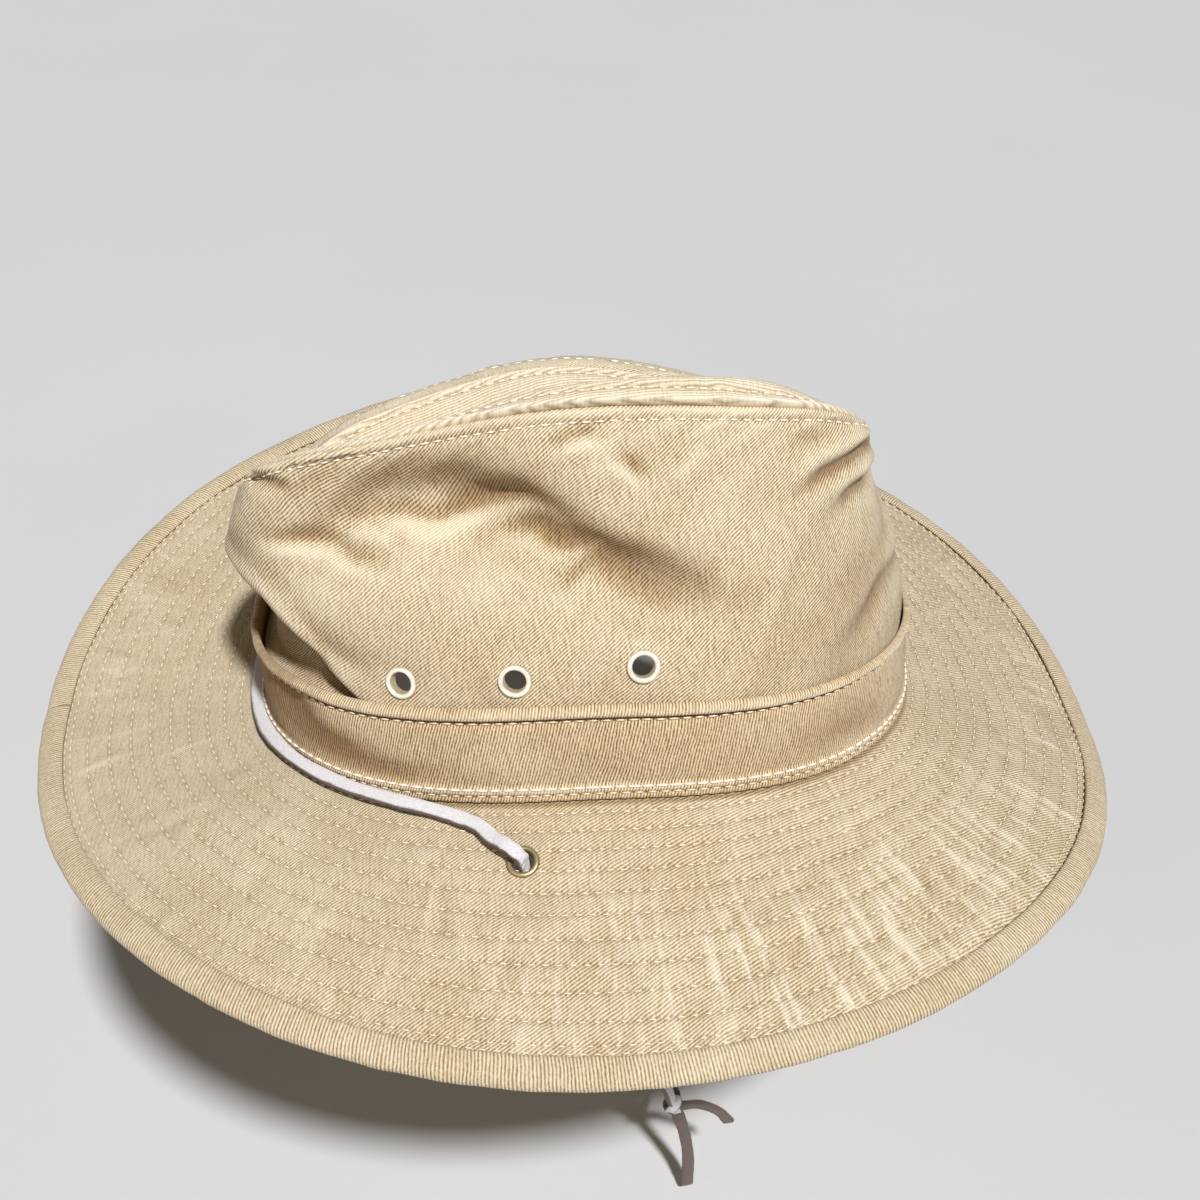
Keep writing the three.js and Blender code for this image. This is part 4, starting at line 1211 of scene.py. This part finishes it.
def radial_ridges(tree):
    """Fine ridges that run out from the crown, strongest on the right front of the brim."""
    place = tree.nodes.new("ShaderNodeTexCoord").outputs["Object"]
    to_round = (1 / (HEAD["half"][0] * MM), 1 / (HEAD["half"][1] * MM), 0)
    level = add_node(tree, "ShaderNodeVectorMath", {0: place, 1: to_round}, operation="MULTIPLY")
    way = add_node(tree, "ShaderNodeVectorMath", {0: level.outputs[0]}, operation="NORMALIZE").outputs[0]
    length = add_node(tree, "ShaderNodeVectorMath", {0: level.outputs[0]}, operation="LENGTH")
    reach = length.outputs["Value"]
    spread = add_node(tree, "ShaderNodeVectorMath", {0: way, "Scale": RIDGES_ROUND}, operation="SCALE")
    parts = add_node(tree, "ShaderNodeSeparateXYZ", {"Vector": spread.outputs[0]})
    rows_out = math_node(tree, "MULTIPLY", reach, RIDGES_OUT)
    grid = add_node(tree, "ShaderNodeCombineXYZ", {
        "X": parts.outputs["X"], "Y": parts.outputs["Y"], "Z": rows_out})
    streaks = noise(tree, grid.outputs[0], 1.0, 2.0, 0.5)
    sharp = add_node(tree, "ShaderNodeMapRange", {
        "Value": streaks, "From Min": 0.46, "From Max": 0.74}, interpolation_type="SMOOTHSTEP").outputs[0]
    strongest = (math.cos(RIDGES_AT), math.sin(RIDGES_AT), 0)
    aimed = add_node(tree, "ShaderNodeVectorMath", {0: way, 1: strongest}, operation="DOT_PRODUCT")
    strength = add_node(tree, "ShaderNodeMapRange", {
        "Value": aimed.outputs["Value"], "From Min": 0.5, "From Max": 0.95, "To Min": 0.3, "To Max": 1.0})
    outer = add_node(tree, "ShaderNodeMapRange", {"Value": reach, "From Min": 1.2, "From Max": 1.5})
    aimed_ridges = math_node(tree, "MULTIPLY", sharp, strength.outputs[0])
    return math_node(tree, "MULTIPLY", aimed_ridges, outer.outputs[0])


# Colours of groove, yarn and faded yarn, and the painted shade tint of hollows
PAINTED_SHADE_TINT = (0.55, 0.44, 0.325)
CROWN_KHAKI = ((0.15, 0.088, 0.035), (0.76, 0.625, 0.41), (0.83, 0.725, 0.535), PAINTED_SHADE_TINT)
# The tip's twill is paler than the side's, as painted light on the panel that faces up
TOP_LIT_TIP_KHAKI = ((0.42, 0.325, 0.21), (0.73, 0.635, 0.47), (0.83, 0.765, 0.635), PAINTED_SHADE_TINT)
BAND_KHAKI = ((0.15, 0.085, 0.036), (0.75, 0.565, 0.335), (0.84, 0.705, 0.49), PAINTED_SHADE_TINT)
BRIM_KHAKI = ((0.25, 0.168, 0.07), (0.67, 0.562, 0.385), (0.80, 0.71, 0.55), PAINTED_SHADE_TINT)
crown_twill = twill("crown_twill", 39, 0.77, CROWN_KHAKI, relief=0.15)
tip_twill = twill("tip_twill", 8, 0.8, TOP_LIT_TIP_KHAKI, relief=0.08)
band_twill = twill("band_twill", 74, 0.84, BAND_KHAKI)
brim_twill = twill("brim_twill", 29, 0.77, BRIM_KHAKI, ridges=radial_ridges)
CLOTHS = ((crown_side, crown_twill), (crown_top, tip_twill), (hat_band, band_twill), (brim, brim_twill))
for piece, finish in CLOTHS:
    piece.data.materials.clear()
    piece.data.materials.append(finish)
print("cloth finishes:", [finish.name for piece, finish in CLOTHS])

# %% [markdown]
# ## Binding of the brim
#
# A strip of the same twill is folded over the brim's edge and sewn down, and its two ends meet at the centre
# back. A strip along a path is a sweep: the path is the edge of the brim, the section is the folded strip.
# The tree turns both into curves, sweeps one along the other, and keeps the distance along the edge, so that
# the ribs of the tape can stand nearly square to it.

# %% Binding of the brim
# Section of the folded strip: distance in from the edge, and height over the brim's top
BINDING_SECTION = (
    (-8.6, 0.25), (-8.65, 0.75), (-8.3, 1.25), (-7.4, 1.55), (-6.0, 1.72), (-4.4, 1.75), (-2.9, 1.62),
    (-1.6, 1.25), (-0.65, 0.6), (-0.1, -0.3), (0.0, -1.1), (-0.1, -1.9), (-0.65, -2.8), (-1.6, -3.4),
    (-2.9, -3.65), (-4.4, -3.7), (-6.0, -3.65), (-7.4, -3.5), (-8.3, -3.3), (-8.65, -2.9), (-8.6, -2.45),
    (-5.0, -2.4), (-1.15, -2.3), (-0.95, -1.1), (-1.15, 0.1), (-5.0, 0.2),
)
EDGE_STEPS = 640
# Where the two ends of the strip meet, and the share of the turn that each stops short of it
JOIN_ANGLE = math.radians(92)
JOIN_GAP = 0.0004
UNEVENNESS = 0.9


def binding_tree():
    tree, given, result = new_tree("binding_sweep", (
        ("Section", "Object"), ("Unevenness", "Float"), ("Tape", "Material")))
    edge = add_node(tree, "GeometryNodeMeshToCurve", {"Mesh": given.outputs["Geometry"]})
    upright = add_node(tree, "GeometryNodeSetCurveNormal", {
        "Curve": edge.outputs["Curve"], "Normal": stored_way_out(tree)}, mode="FREE")
    measure = add_node(tree, "GeometryNodeSplineParameter")
    marked = add_node(tree, "GeometryNodeStoreNamedAttribute", {
        "Geometry": upright.outputs["Curve"], "Name": "along_edge", "Value": measure.outputs["Length"]},
        data_type="FLOAT", domain="POINT")
    drawn = add_node(tree, "GeometryNodeObjectInfo", {"Object": given.outputs["Section"]})
    section = add_node(tree, "GeometryNodeMeshToCurve", {"Mesh": drawn.outputs["Geometry"]})
    across = add_node(tree, "GeometryNodeSplineParameter")
    section_marked = add_node(tree, "GeometryNodeStoreNamedAttribute", {
        "Geometry": section.outputs["Curve"], "Name": "across_tape", "Value": across.outputs["Length"]},
        data_type="FLOAT", domain="POINT")
    swept = add_node(tree, "GeometryNodeCurveToMesh", {
        "Curve": marked.outputs["Geometry"], "Profile Curve": section_marked.outputs["Geometry"],
        "Fill Caps": True})
    waves = add_node(tree, "ShaderNodeTexNoise", {"Scale": 95.0, "Detail": 2.0})
    centred = math_node(tree, "SUBTRACT", waves.outputs["Fac"], 0.5)
    amount = math_node(tree, "MULTIPLY", centred, given.outputs["Unevenness"])
    normal = add_node(tree, "GeometryNodeInputNormal")
    push = add_node(tree, "ShaderNodeVectorMath", {
        0: normal.outputs["Normal"], "Scale": amount}, operation="SCALE")
    moved = add_node(tree, "GeometryNodeSetPosition", {
        "Geometry": swept.outputs["Mesh"], "Offset": push.outputs["Vector"]})
    smooth = add_node(tree, "GeometryNodeSetShadeSmooth", {"Geometry": moved.outputs["Geometry"]})
    return end_tree(tree, result, smooth.outputs["Geometry"], given.outputs["Tape"])


def tape_place(tree):
    """Millimetres along and across the tape, from the sweep's own measures."""
    along = add_node(tree, "ShaderNodeAttribute", attribute_name="along_edge").outputs["Fac"]
    across = add_node(tree, "ShaderNodeAttribute", attribute_name="across_tape").outputs["Fac"]
    both = add_node(tree, "ShaderNodeCombineXYZ", {
        "X": math_node(tree, "MULTIPLY", along, 1 / MM), "Y": math_node(tree, "MULTIPLY", across, 1 / MM)})
    return both.outputs["Vector"]


binding_twill = twill("binding_twill", 84, 1.0, BRIM_KHAKI, tape_place)
edge_angle = JOIN_ANGLE + np.linspace(JOIN_GAP, 1 - JOIN_GAP, EDGE_STEPS) * TURN
edge_reach = around(edge_angle, BRIM_WIDTH)
edge_line = brim_top(edge_angle, edge_reach)
edge_out = -normals_of(brim_top, edge_angle, edge_reach, 0.5)
section_points = np.array([(lift, reach, 0) for reach, lift in BINDING_SECTION])
section_object = add_object("binding_section", line_mesh("binding_section", [section_points]))
edge_mesh = line_mesh("edge", [edge_line], [edge_out], closed=False)
binding = grown("brim_binding_tape", edge_mesh, binding_tree(), {
    "Section": section_object, "Unevenness": UNEVENNESS * MM, "Tape": binding_twill})
bpy.data.objects.remove(section_object)
face_outwards(binding.data)
print("binding faces:", len(binding.data.polygons))

# %% [markdown]
# ## Eyelets
#
# Pale plated eyelets vent the crown, three on each side, and two duller brass ones carry the lace through
# the brim. One eyelet is turned from a section, as on a lathe. The tree puts it on every marked point and
# tilts it until it lies on the cloth.

# %% Eyelets: one turned ring
# Section as radius and height over the cloth, outside first
EYELET_TOP = (
    (3.3, 0.05), (4.5, 0.0), (4.66, 0.2), (4.62, 0.5), (4.42, 0.78), (4.05, 0.92), (3.65, 0.94),
    (3.36, 0.82), (3.16, 0.5), (3.08, 0.2),
)
WASHER = ((3.05, -0.35), (3.1, -0.55), (3.7, -0.75), (4.3, -0.5), (4.4, -0.15), (4.2, 0.0), (3.3, -0.05))
WASHER_PLAY = 0.3
EYELET_SIDES = 40
# The painted shade of the ring's flanks starts below this height and is full after this fall
RING_TOP = 0.9
FLANK_FALL = 0.5


def eyelet_mesh(name, cloth):
    profile = list(EYELET_TOP) + [(radius, height - cloth - WASHER_PLAY) for radius, height in WASHER]
    turned = np.arange(EYELET_SIDES) / EYELET_SIDES * TURN
    radius, height = np.array(profile).T
    points = np.stack([
        np.cos(turned)[:, None] * radius, np.sin(turned)[:, None] * radius,
        np.repeat(height[None], EYELET_SIDES, 0)], -1)
    rows = len(profile)
    faces = []
    for side in range(EYELET_SIDES):
        beside = (side + 1) % EYELET_SIDES
        for row in range(rows):
            following = (row + 1) % rows
            here, there = side * rows, beside * rows
            faces.append((here + row, there + row, there + following, here + following))
    mesh = bpy.data.meshes.new(name)
    mesh.from_pydata((points.reshape(-1, 3) * MM).tolist(), [], faces)
    face_outwards(mesh)
    mesh.polygons.foreach_set("use_smooth", [True] * len(mesh.polygons))
    shaded_flank = mesh.attributes.new("shaded_flank", "FLOAT", "POINT")
    shaded_flank.data.foreach_set("value", np.tile(np.clip((RING_TOP - height) / FLANK_FALL, 0, 1), EYELET_SIDES))
    return mesh


def eyelet_tree():
    tree, given, result = new_tree("eyelets_on_cloth", (("Eyelet", "Object"), ("Metal", "Material")))
    tilt = add_node(tree, "FunctionNodeAlignRotationToVector", {"Vector": stored_way_out(tree)}, axis="Z")
    one = add_node(tree, "GeometryNodeObjectInfo", {"Object": given.outputs["Eyelet"]})
    placed = add_node(tree, "GeometryNodeInstanceOnPoints", {
        "Points": given.outputs["Geometry"], "Instance": one.outputs["Geometry"],
        "Rotation": tilt.outputs["Rotation"]})
    return end_tree(tree, result, placed.outputs["Instances"], given.outputs["Metal"])


print("points of the eyelet's section:", len(EYELET_TOP) + len(WASHER))

# %% [markdown]
# ## Metal of the eyelets
#
# Both metals are brass, one under a pale lacquer that has rubbed through a little, one left to darken.
# Lacquer scatters light, so the pale rings are only partly metallic. The clouds in colour and roughness are
# small, because the rings are small. The flanks of a ring, marked by an attribute, are duller and painted
# darker, as painted shade.

# %% Metal of the eyelets
def worn_metal_with_shade(name, bright, dull_and_shaded, smooth_value, rough_value, metallic):
    material, tree, shader = shader_tree(name)
    place = tree.nodes.new("ShaderNodeTexCoord").outputs["Object"]
    clouds = noise(tree, place, 420.0, 4.0, 0.65)
    shaded_flank = add_node(tree, "ShaderNodeAttribute", attribute_name="shaded_flank").outputs["Fac"]
    rubbed = math_node(tree, "MULTIPLY_ADD", clouds, 1.2, 0.35)
    # Flanks take the dull colour: on the pale rings as painted shade, on the old brass partly as tarnish
    share = clamped(tree, math_node(tree, "MULTIPLY_ADD", shaded_flank, -0.95, rubbed))
    tree.links.new(mix_colours(tree, share, dull_and_shaded, bright), shader.inputs["Base Color"])
    span = smooth_value - rough_value
    tree.links.new(math_node(tree, "MULTIPLY_ADD", share, span, rough_value), shader.inputs["Roughness"])
    scratches = noise(tree, place, 1700.0, 2.0)
    add_bump(tree, shader, scratches, 0.35, 0.08 * MM)
    set_shader(shader, {"Metallic": metallic})
    return material


pale_plating = worn_metal_with_shade("pale_plating", (0.96, 0.93, 0.83), (0.52, 0.43, 0.26), 0.24, 0.42, 0.25)
aged_brass = worn_metal_with_shade("aged_brass", (0.50, 0.41, 0.23), (0.28, 0.215, 0.11), 0.34, 0.55, 0.75)

vent_master = add_object("vent_eyelet", eyelet_mesh("vent_eyelet", CROWN_CLOTH))
cord_master = add_object("cord_eyelet", eyelet_mesh("cord_eyelet", BRIM_CLOTH))
eyelets = eyelet_tree()
vent_marks = line_mesh("vents", [vent_points], [vent_normals], closed=False)
vent_eyelets = grown("vent_eyelets", vent_marks, eyelets, {"Eyelet": vent_master, "Metal": pale_plating})
cord_marks = line_mesh("cord holes", [cord_points], [cord_normals], closed=False)
cord_eyelets = grown("cord_eyelets", cord_marks, eyelets, {"Eyelet": cord_master, "Metal": aged_brass})
for master in (vent_master, cord_master):
    bpy.data.objects.remove(master)
print("eyelet faces:", len(vent_eyelets.data.polygons), len(cord_eyelets.data.polygons))

# %% [markdown]
# ## Stitches
#
# Pale thread holds everything: two rows along the tip's seam, one under the band's roll, two along its foot
# and a dozen round the brim, above and below. Thousands of stitches are a case for nodes: each row is a
# closed line on the cloth, cut into equal steps, with one small rounded stitch on every step, laid along the
# line and turned to the cloth. The same tree, shifted by half a step, sets dark beads between the stitches,
# as the painted shade of the needle holes.

# %% Stitches: the tree
# Shares of the full length between which the stitches vary
SHORTEST_STITCH, LONGEST_STITCH = 0.84, 1.1


def stitch_tree():
    tree, given, result = new_tree("stitch_rows", (
        ("Pitch", "Float"), ("Stitch length", "Float"), ("Thread", "Float"), ("Shift", "Float"),
        ("Seed", "Int"), ("Yarn", "Material")))
    curve = add_node(tree, "GeometryNodeMeshToCurve", {"Mesh": given.outputs["Geometry"]})
    steps = add_node(tree, "GeometryNodeResampleCurve", {
        "Curve": curve.outputs["Curve"], "Length": given.outputs["Pitch"]}, mode="LENGTH")
    tangent = add_node(tree, "GeometryNodeInputTangent")
    lengthwise = add_node(tree, "FunctionNodeAlignRotationToVector", {
        "Vector": tangent.outputs["Tangent"]}, axis="X")
    laid = add_node(tree, "FunctionNodeAlignRotationToVector", {
        "Rotation": lengthwise.outputs["Rotation"], "Vector": stored_way_out(tree)},
        axis="Z", pivot_axis="X")
    vary = add_node(tree, "FunctionNodeRandomValue", {
        "Seed": given.outputs["Seed"], 2: SHORTEST_STITCH, 3: LONGEST_STITCH}, data_type="FLOAT")
    half = math_node(tree, "MULTIPLY", given.outputs["Stitch length"], 0.5)
    length = math_node(tree, "MULTIPLY", half, vary.outputs[1])
    thick = math_node(tree, "MULTIPLY", given.outputs["Thread"], 0.5)
    size = add_node(tree, "ShaderNodeCombineXYZ", {"X": length, "Y": thick, "Z": thick})
    bead = add_node(tree, "GeometryNodeMeshUVSphere", {"Segments": 5, "Rings": 4, "Radius": 1.0})
    smooth = add_node(tree, "GeometryNodeSetShadeSmooth", {"Geometry": bead.outputs["Mesh"]})
    placed = add_node(tree, "GeometryNodeInstanceOnPoints", {
        "Points": steps.outputs["Curve"], "Instance": smooth.outputs["Geometry"],
        "Rotation": laid.outputs["Rotation"], "Scale": size.outputs["Vector"]})
    shift = add_node(tree, "ShaderNodeCombineXYZ", {"X": given.outputs["Shift"]})
    shifted = add_node(tree, "GeometryNodeTranslateInstances", {
        "Instances": placed.outputs["Instances"], "Translation": shift.outputs["Vector"],
        "Local Space": True})
    return end_tree(tree, result, shifted.outputs["Instances"], given.outputs["Yarn"])


def thread_finish(name, light, dark):
    material, tree, shader = shader_tree(name)
    place = tree.nodes.new("ShaderNodeTexCoord").outputs["Object"]
    twist = noise(tree, place, 900.0, 2.0)
    clouds = noise(tree, place, 60.0, 2.0)
    share = math_node(tree, "MULTIPLY_ADD", twist, 0.6, math_node(tree, "MULTIPLY", clouds, 0.5))
    tree.links.new(mix_colours(tree, share, dark, light), shader.inputs["Base Color"])
    add_bump(tree, shader, twist, 0.6, 0.1 * MM)
    set_shader(shader, {"Roughness": 0.7, "Sheen Weight": 0.15})
    return material


white_thread = thread_finish("white_thread", (0.95, 0.91, 0.82), (0.80, 0.71, 0.56))
cream_thread = thread_finish("cream_thread", (0.83, 0.755, 0.60), (0.69, 0.58, 0.415))
tan_thread = thread_finish("tan_thread", (0.84, 0.74, 0.55), (0.62, 0.49, 0.32))
# Near-black beads stand for the shade inside the needle holes: painted shade
needle_hole_shade = thread_finish("needle_hole_shade", (0.10, 0.065, 0.035), (0.04, 0.025, 0.012))
stitches = stitch_tree()
print("stitch tree nodes:", len(stitches.nodes))

# %% Stitches: the rows
# Sizes in millimetres: pitch, stitch length, thread
SEAM_SIZES = (3.7, 3.0, 0.62)
STRIP_SIZES = (3.9, 4.6, 0.78)
BRIM_SIZES = (3.7, 2.5, 0.52)
HOLE_LENGTH = 0.45
LIFT = 0.18


def sewn(name, rows, ways_out, sizes, yarn, seed):
    """Stitches along rows on the cloth."""
    pitch, length, thread = (size * MM for size in sizes)
    lifted = [row + way_out * LIFT for row, way_out in zip(rows, ways_out)]
    return grown(name, line_mesh("rows", lifted, ways_out), stitches, {
        "Pitch": pitch, "Stitch length": length, "Thread": thread, "Shift": 0.0, "Seed": seed, "Yarn": yarn})


def hole_shade_beads(name, rows, ways_out, sizes, seed):
    """Dark beads between the stitches of the same rows, as painted shade of the needle holes."""
    pitch, length, thread = (size * MM for size in sizes)
    return grown(name, line_mesh("rows", rows, ways_out), stitches, {
        "Pitch": pitch, "Stitch length": HOLE_LENGTH * MM, "Thread": thread, "Shift": pitch / 2,
        "Seed": seed, "Yarn": needle_hole_shade})


def sampled(grid, measure, wanted):
    """Points of a grid where a measure that grows along each row of it has a wanted value."""
    rows = []
    for column in range(grid.shape[0]):
        rows.append([np.interp(wanted[column], measure[column], grid[column, :, axis]) for axis in range(3)])
    return np.array(rows)


wall_row = sampled(wall_outside, wall_up, wall_height(ring_angle) - SEAM_STITCH)
wall_row_out = unit(sampled(wall_normal, wall_up, wall_height(ring_angle) - SEAM_STITCH))
tip_at = 1 - TIP_STITCH / tip_spread(ring_angle)
tip_row = sampled(tip_above, tip_reaches, tip_at)
tip_row_out = unit(sampled(tip_normal, tip_reaches, tip_at))
crown_rows, crown_outs = [wall_row, tip_row], [wall_row_out, tip_row_out]
crown_stitches = sewn("crown_stitches", crown_rows, crown_outs, SEAM_SIZES, white_thread, 1)
crown_hole_shade = hole_shade_beads("crown_needle_holes", crown_rows, crown_outs, SEAM_SIZES, 2)

band_out_way = np.concatenate([outward(ring_angle), np.zeros((COLUMNS, 1))], -1)
band_outer_up = np.repeat(band_up[None, :BAND_OUTER], COLUMNS, 0)
strip_row, foot_row, roll_row = (
    sampled(band_points[:, :BAND_OUTER], band_outer_up, np.full(COLUMNS, up))
    for up in (STRIP_ROW, FOOT_ROW, ROLL_SEWN))
roll_row = roll_row + band_out_way * ROLL_LIFT
band_outs = [band_out_way, band_out_way]
strip_stitches = sewn("band_strip_stitches", [strip_row], [band_out_way], STRIP_SIZES, white_thread, 3)
band_stitches = sewn("band_stitches", [foot_row, roll_row], band_outs, SEAM_SIZES, tan_thread, 4)
band_hole_shade = hole_shade_beads("band_needle_holes", [foot_row, roll_row], band_outs, SEAM_SIZES, 5)

row_reaches = [row * around(ring_angle, BRIM_WIDTH) / ROW_WIDTH for row in ROWS_OF_STITCHES]
top_rows = [sampled(top_points, top_reach, at) for at in row_reaches]
top_outs = [unit(sampled(top_normal, top_reach, at)) for at in row_reaches]
under_rows = [sampled(under_points, under_reach, at) for at in row_reaches]
under_outs = [-unit(sampled(under_normal, under_reach, at)) for at in row_reaches]
brim_stitches = sewn("brim_stitches", top_rows, top_outs, BRIM_SIZES, cream_thread, 6)
under_stitches = sewn("brim_under_stitches", under_rows, under_outs, BRIM_SIZES, cream_thread, 7)
THREADS = (
    crown_stitches, crown_hole_shade, strip_stitches, band_stitches, band_hole_shade, brim_stitches, under_stitches)
print("stitch faces:", [len(piece.data.polygons) for piece in THREADS])

# %% [markdown]
# ## Suede of the lace
#
# The flesh side of the lace is pale and soft, and its cut edges and other side are grey brown. The attribute
# "shows" tells the sides apart, and a short nap of fine noise keeps the pale side from looking like plastic.

# %% Suede of the lace
def suede_finish(name, pale, brown):
    material, tree, shader = shader_tree(name)
    place = tree.nodes.new("ShaderNodeTexCoord").outputs["Object"]
    nap = noise(tree, place, 1700.0, 4.0, 0.75)
    clouds = noise(tree, place, 160.0, 3.0, 0.6)
    side = add_node(tree, "ShaderNodeAttribute", attribute_name="shows").outputs["Fac"]
    edge = math_node(tree, "ADD", side, math_node(tree, "MULTIPLY_ADD", clouds, 0.9, -0.45))
    share = add_node(tree, "ShaderNodeMapRange", {
        "Value": edge, "From Min": 0.05, "From Max": 0.75}, interpolation_type="SMOOTHSTEP").outputs[0]
    colour = mix_colours(tree, share, brown, pale)
    grain = math_node(tree, "MULTIPLY_ADD", nap, 0.9, 0.52)
    grey = add_node(tree, "ShaderNodeCombineColor", {"Red": grain, "Green": grain, "Blue": grain})
    colour = mix_colours(tree, 1.0, colour, grey.outputs[0], "MULTIPLY")
    tree.links.new(colour, shader.inputs["Base Color"])
    add_bump(tree, shader, nap, 0.7, 0.15 * MM)
    set_shader(shader, {"Roughness": 0.95, "Specular IOR Level": 0.15, "Sheen Weight": 0.25})
    return material


lace_suede = suede_finish("lace_suede", (0.66, 0.635, 0.66), (0.12, 0.09, 0.078))
for piece in (chin_lace, chin_knot):
    piece.data.materials.append(lace_suede)
print("lace finish:", lace_suede.name)

# %% [markdown]
# ## Floor and light
#
# One main light stands high on the wearer's right, a little to the front: a sun with a wide disc, for soft
# shadows. A weak warm lamp fills in from the right back, and the room itself glows dimly. The hat is held up
# at its head opening, so the floor lies just below the hanging lace.

# %% Floor and light
FLOOR_DROP = 0.004
FLOOR_HALF = 6.0
KEY = {"degrees": 201, "rise": 56.5, "strength": 4.15}
KEY_SOFTNESS = math.radians(5)
FILL = {"degrees": 135, "rise": 30, "strength": 6.2, "distance": 2.0}
FILL_SIZE, FILL_COLOUR = 1.4, (1.0, 0.88, 0.72)
ROOM_COLOUR, ROOM_GLOW = (1.0, 0.88, 0.74, 1), 0.06
WALL_COLOUR = (0.66, 0.66, 0.66, 1)

low_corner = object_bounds()[0]
floor_mesh = bpy.data.meshes.new("floor")
floor_level = low_corner[2] - FLOOR_DROP
floor_mesh.from_pydata([
    (-FLOOR_HALF, -FLOOR_HALF, floor_level), (FLOOR_HALF, -FLOOR_HALF, floor_level),
    (FLOOR_HALF, FLOOR_HALF, floor_level), (-FLOOR_HALF, FLOOR_HALF, floor_level)], [], [(0, 1, 2, 3)])
floor = add_object("floor", floor_mesh)
floor_finish, floor_tree, floor_shader = shader_tree("pale_floor")
floor_place = floor_tree.nodes.new("ShaderNodeTexCoord").outputs["Object"]
floor_clouds = noise(floor_tree, floor_place, 3.0, 3.0)
floor_colour = mix_colours(floor_tree, floor_clouds, (0.545, 0.548, 0.56), (0.57, 0.573, 0.585))
floor_tree.links.new(floor_colour, floor_shader.inputs["Base Color"])
set_shader(floor_shader, {"Roughness": 0.9})
floor_mesh.materials.append(floor_finish)


def way_to(degrees, rise):
    """The direction to a light that stands at an angle round the hat and rises over the floor."""
    turned, lifted = math.radians(degrees), math.radians(rise)
    level = math.cos(lifted)
    return Vector((level * math.cos(turned), level * math.sin(turned), math.sin(lifted)))


def soft_light(name, kind, degrees, rise, strength, distance=1.0):
    """A light of a kind, aimed at the hat."""
    data = bpy.data.lights.new(name, kind)
    data.energy = strength
    light = bpy.data.objects.new(name, data)
    light.location = way_to(degrees, rise) * distance
    light.rotation_euler = way_to(degrees, rise).to_track_quat("Z", "Y").to_euler()
    bpy.context.scene.collection.objects.link(light)
    return data


key = soft_light("key", "SUN", **KEY)
key.angle = KEY_SOFTNESS
fill = soft_light("fill", "AREA", **FILL)
fill.shape, fill.size, fill.color = "DISK", FILL_SIZE, FILL_COLOUR
world = bpy.data.worlds.new("studio")
world.use_nodes = True
room = world.node_tree
dim_room = room.nodes["Background"]
set_shader(dim_room, {"Color": ROOM_COLOUR, "Strength": ROOM_GLOW})
# Seen past the edge of the floor, the room is as pale as the floor, but it adds no light to the hat
pale_wall = room.nodes.new("ShaderNodeBackground")
set_shader(pale_wall, {"Color": WALL_COLOUR})
sight = room.nodes.new("ShaderNodeLightPath")
seen_or_lit = room.nodes.new("ShaderNodeMixShader")
room.links.new(sight.outputs["Is Camera Ray"], seen_or_lit.inputs[0])
room.links.new(dim_room.outputs[0], seen_or_lit.inputs[1])
room.links.new(pale_wall.outputs[0], seen_or_lit.inputs[2])
room.links.new(seen_or_lit.outputs[0], room.nodes["World Output"].inputs["Surface"])
bpy.context.scene.world = world
bpy.context.scene.view_settings.view_transform = "Standard"
print("floor level, m:", round(floor_level, 4))

# %% [markdown]
# ## The body of the hat
#
# Each piece now moves with the one body of the hat, and the imported solids that it stands for are hidden.

# %% The body of the hat
VENT_NODES = [f"vent_eyelet_{side}_{place}" for side in ("right", "left") for place in VENTS]
DRESSED = (
    (crown_side, "crown_twill", ("crown_side",)),
    (crown_top, "crown_twill", ("crown_tip",)),
    (hat_band, "band_twill", ("hat_band",)),
    (brim, "brim_twill", ("brim",)),
    (binding, "binding_twill", ("brim_binding",)),
    (vent_eyelets, "vent_metal", VENT_NODES),
    (cord_eyelets, "old_brass", ("cord_eyelet_right", "cord_eyelet_left")),
    (chin_lace, "pale_suede", ("chin_cord",)),
    (chin_knot, "pale_suede", ("chin_knot",)),
    (crown_stitches, "crown_twill", ()),
    (crown_hole_shade, "crown_twill", ()),
    (strip_stitches, "band_twill", ()),
    (band_stitches, "band_twill", ()),
    (band_hole_shade, "band_twill", ()),
    (brim_stitches, "brim_twill", ()),
    (under_stitches, "brim_twill", ()),
)
for piece, slot, nodes in DRESSED:
    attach(piece, "root")
    if nodes:
        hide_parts(*nodes)
print("pieces:", len(DRESSED))
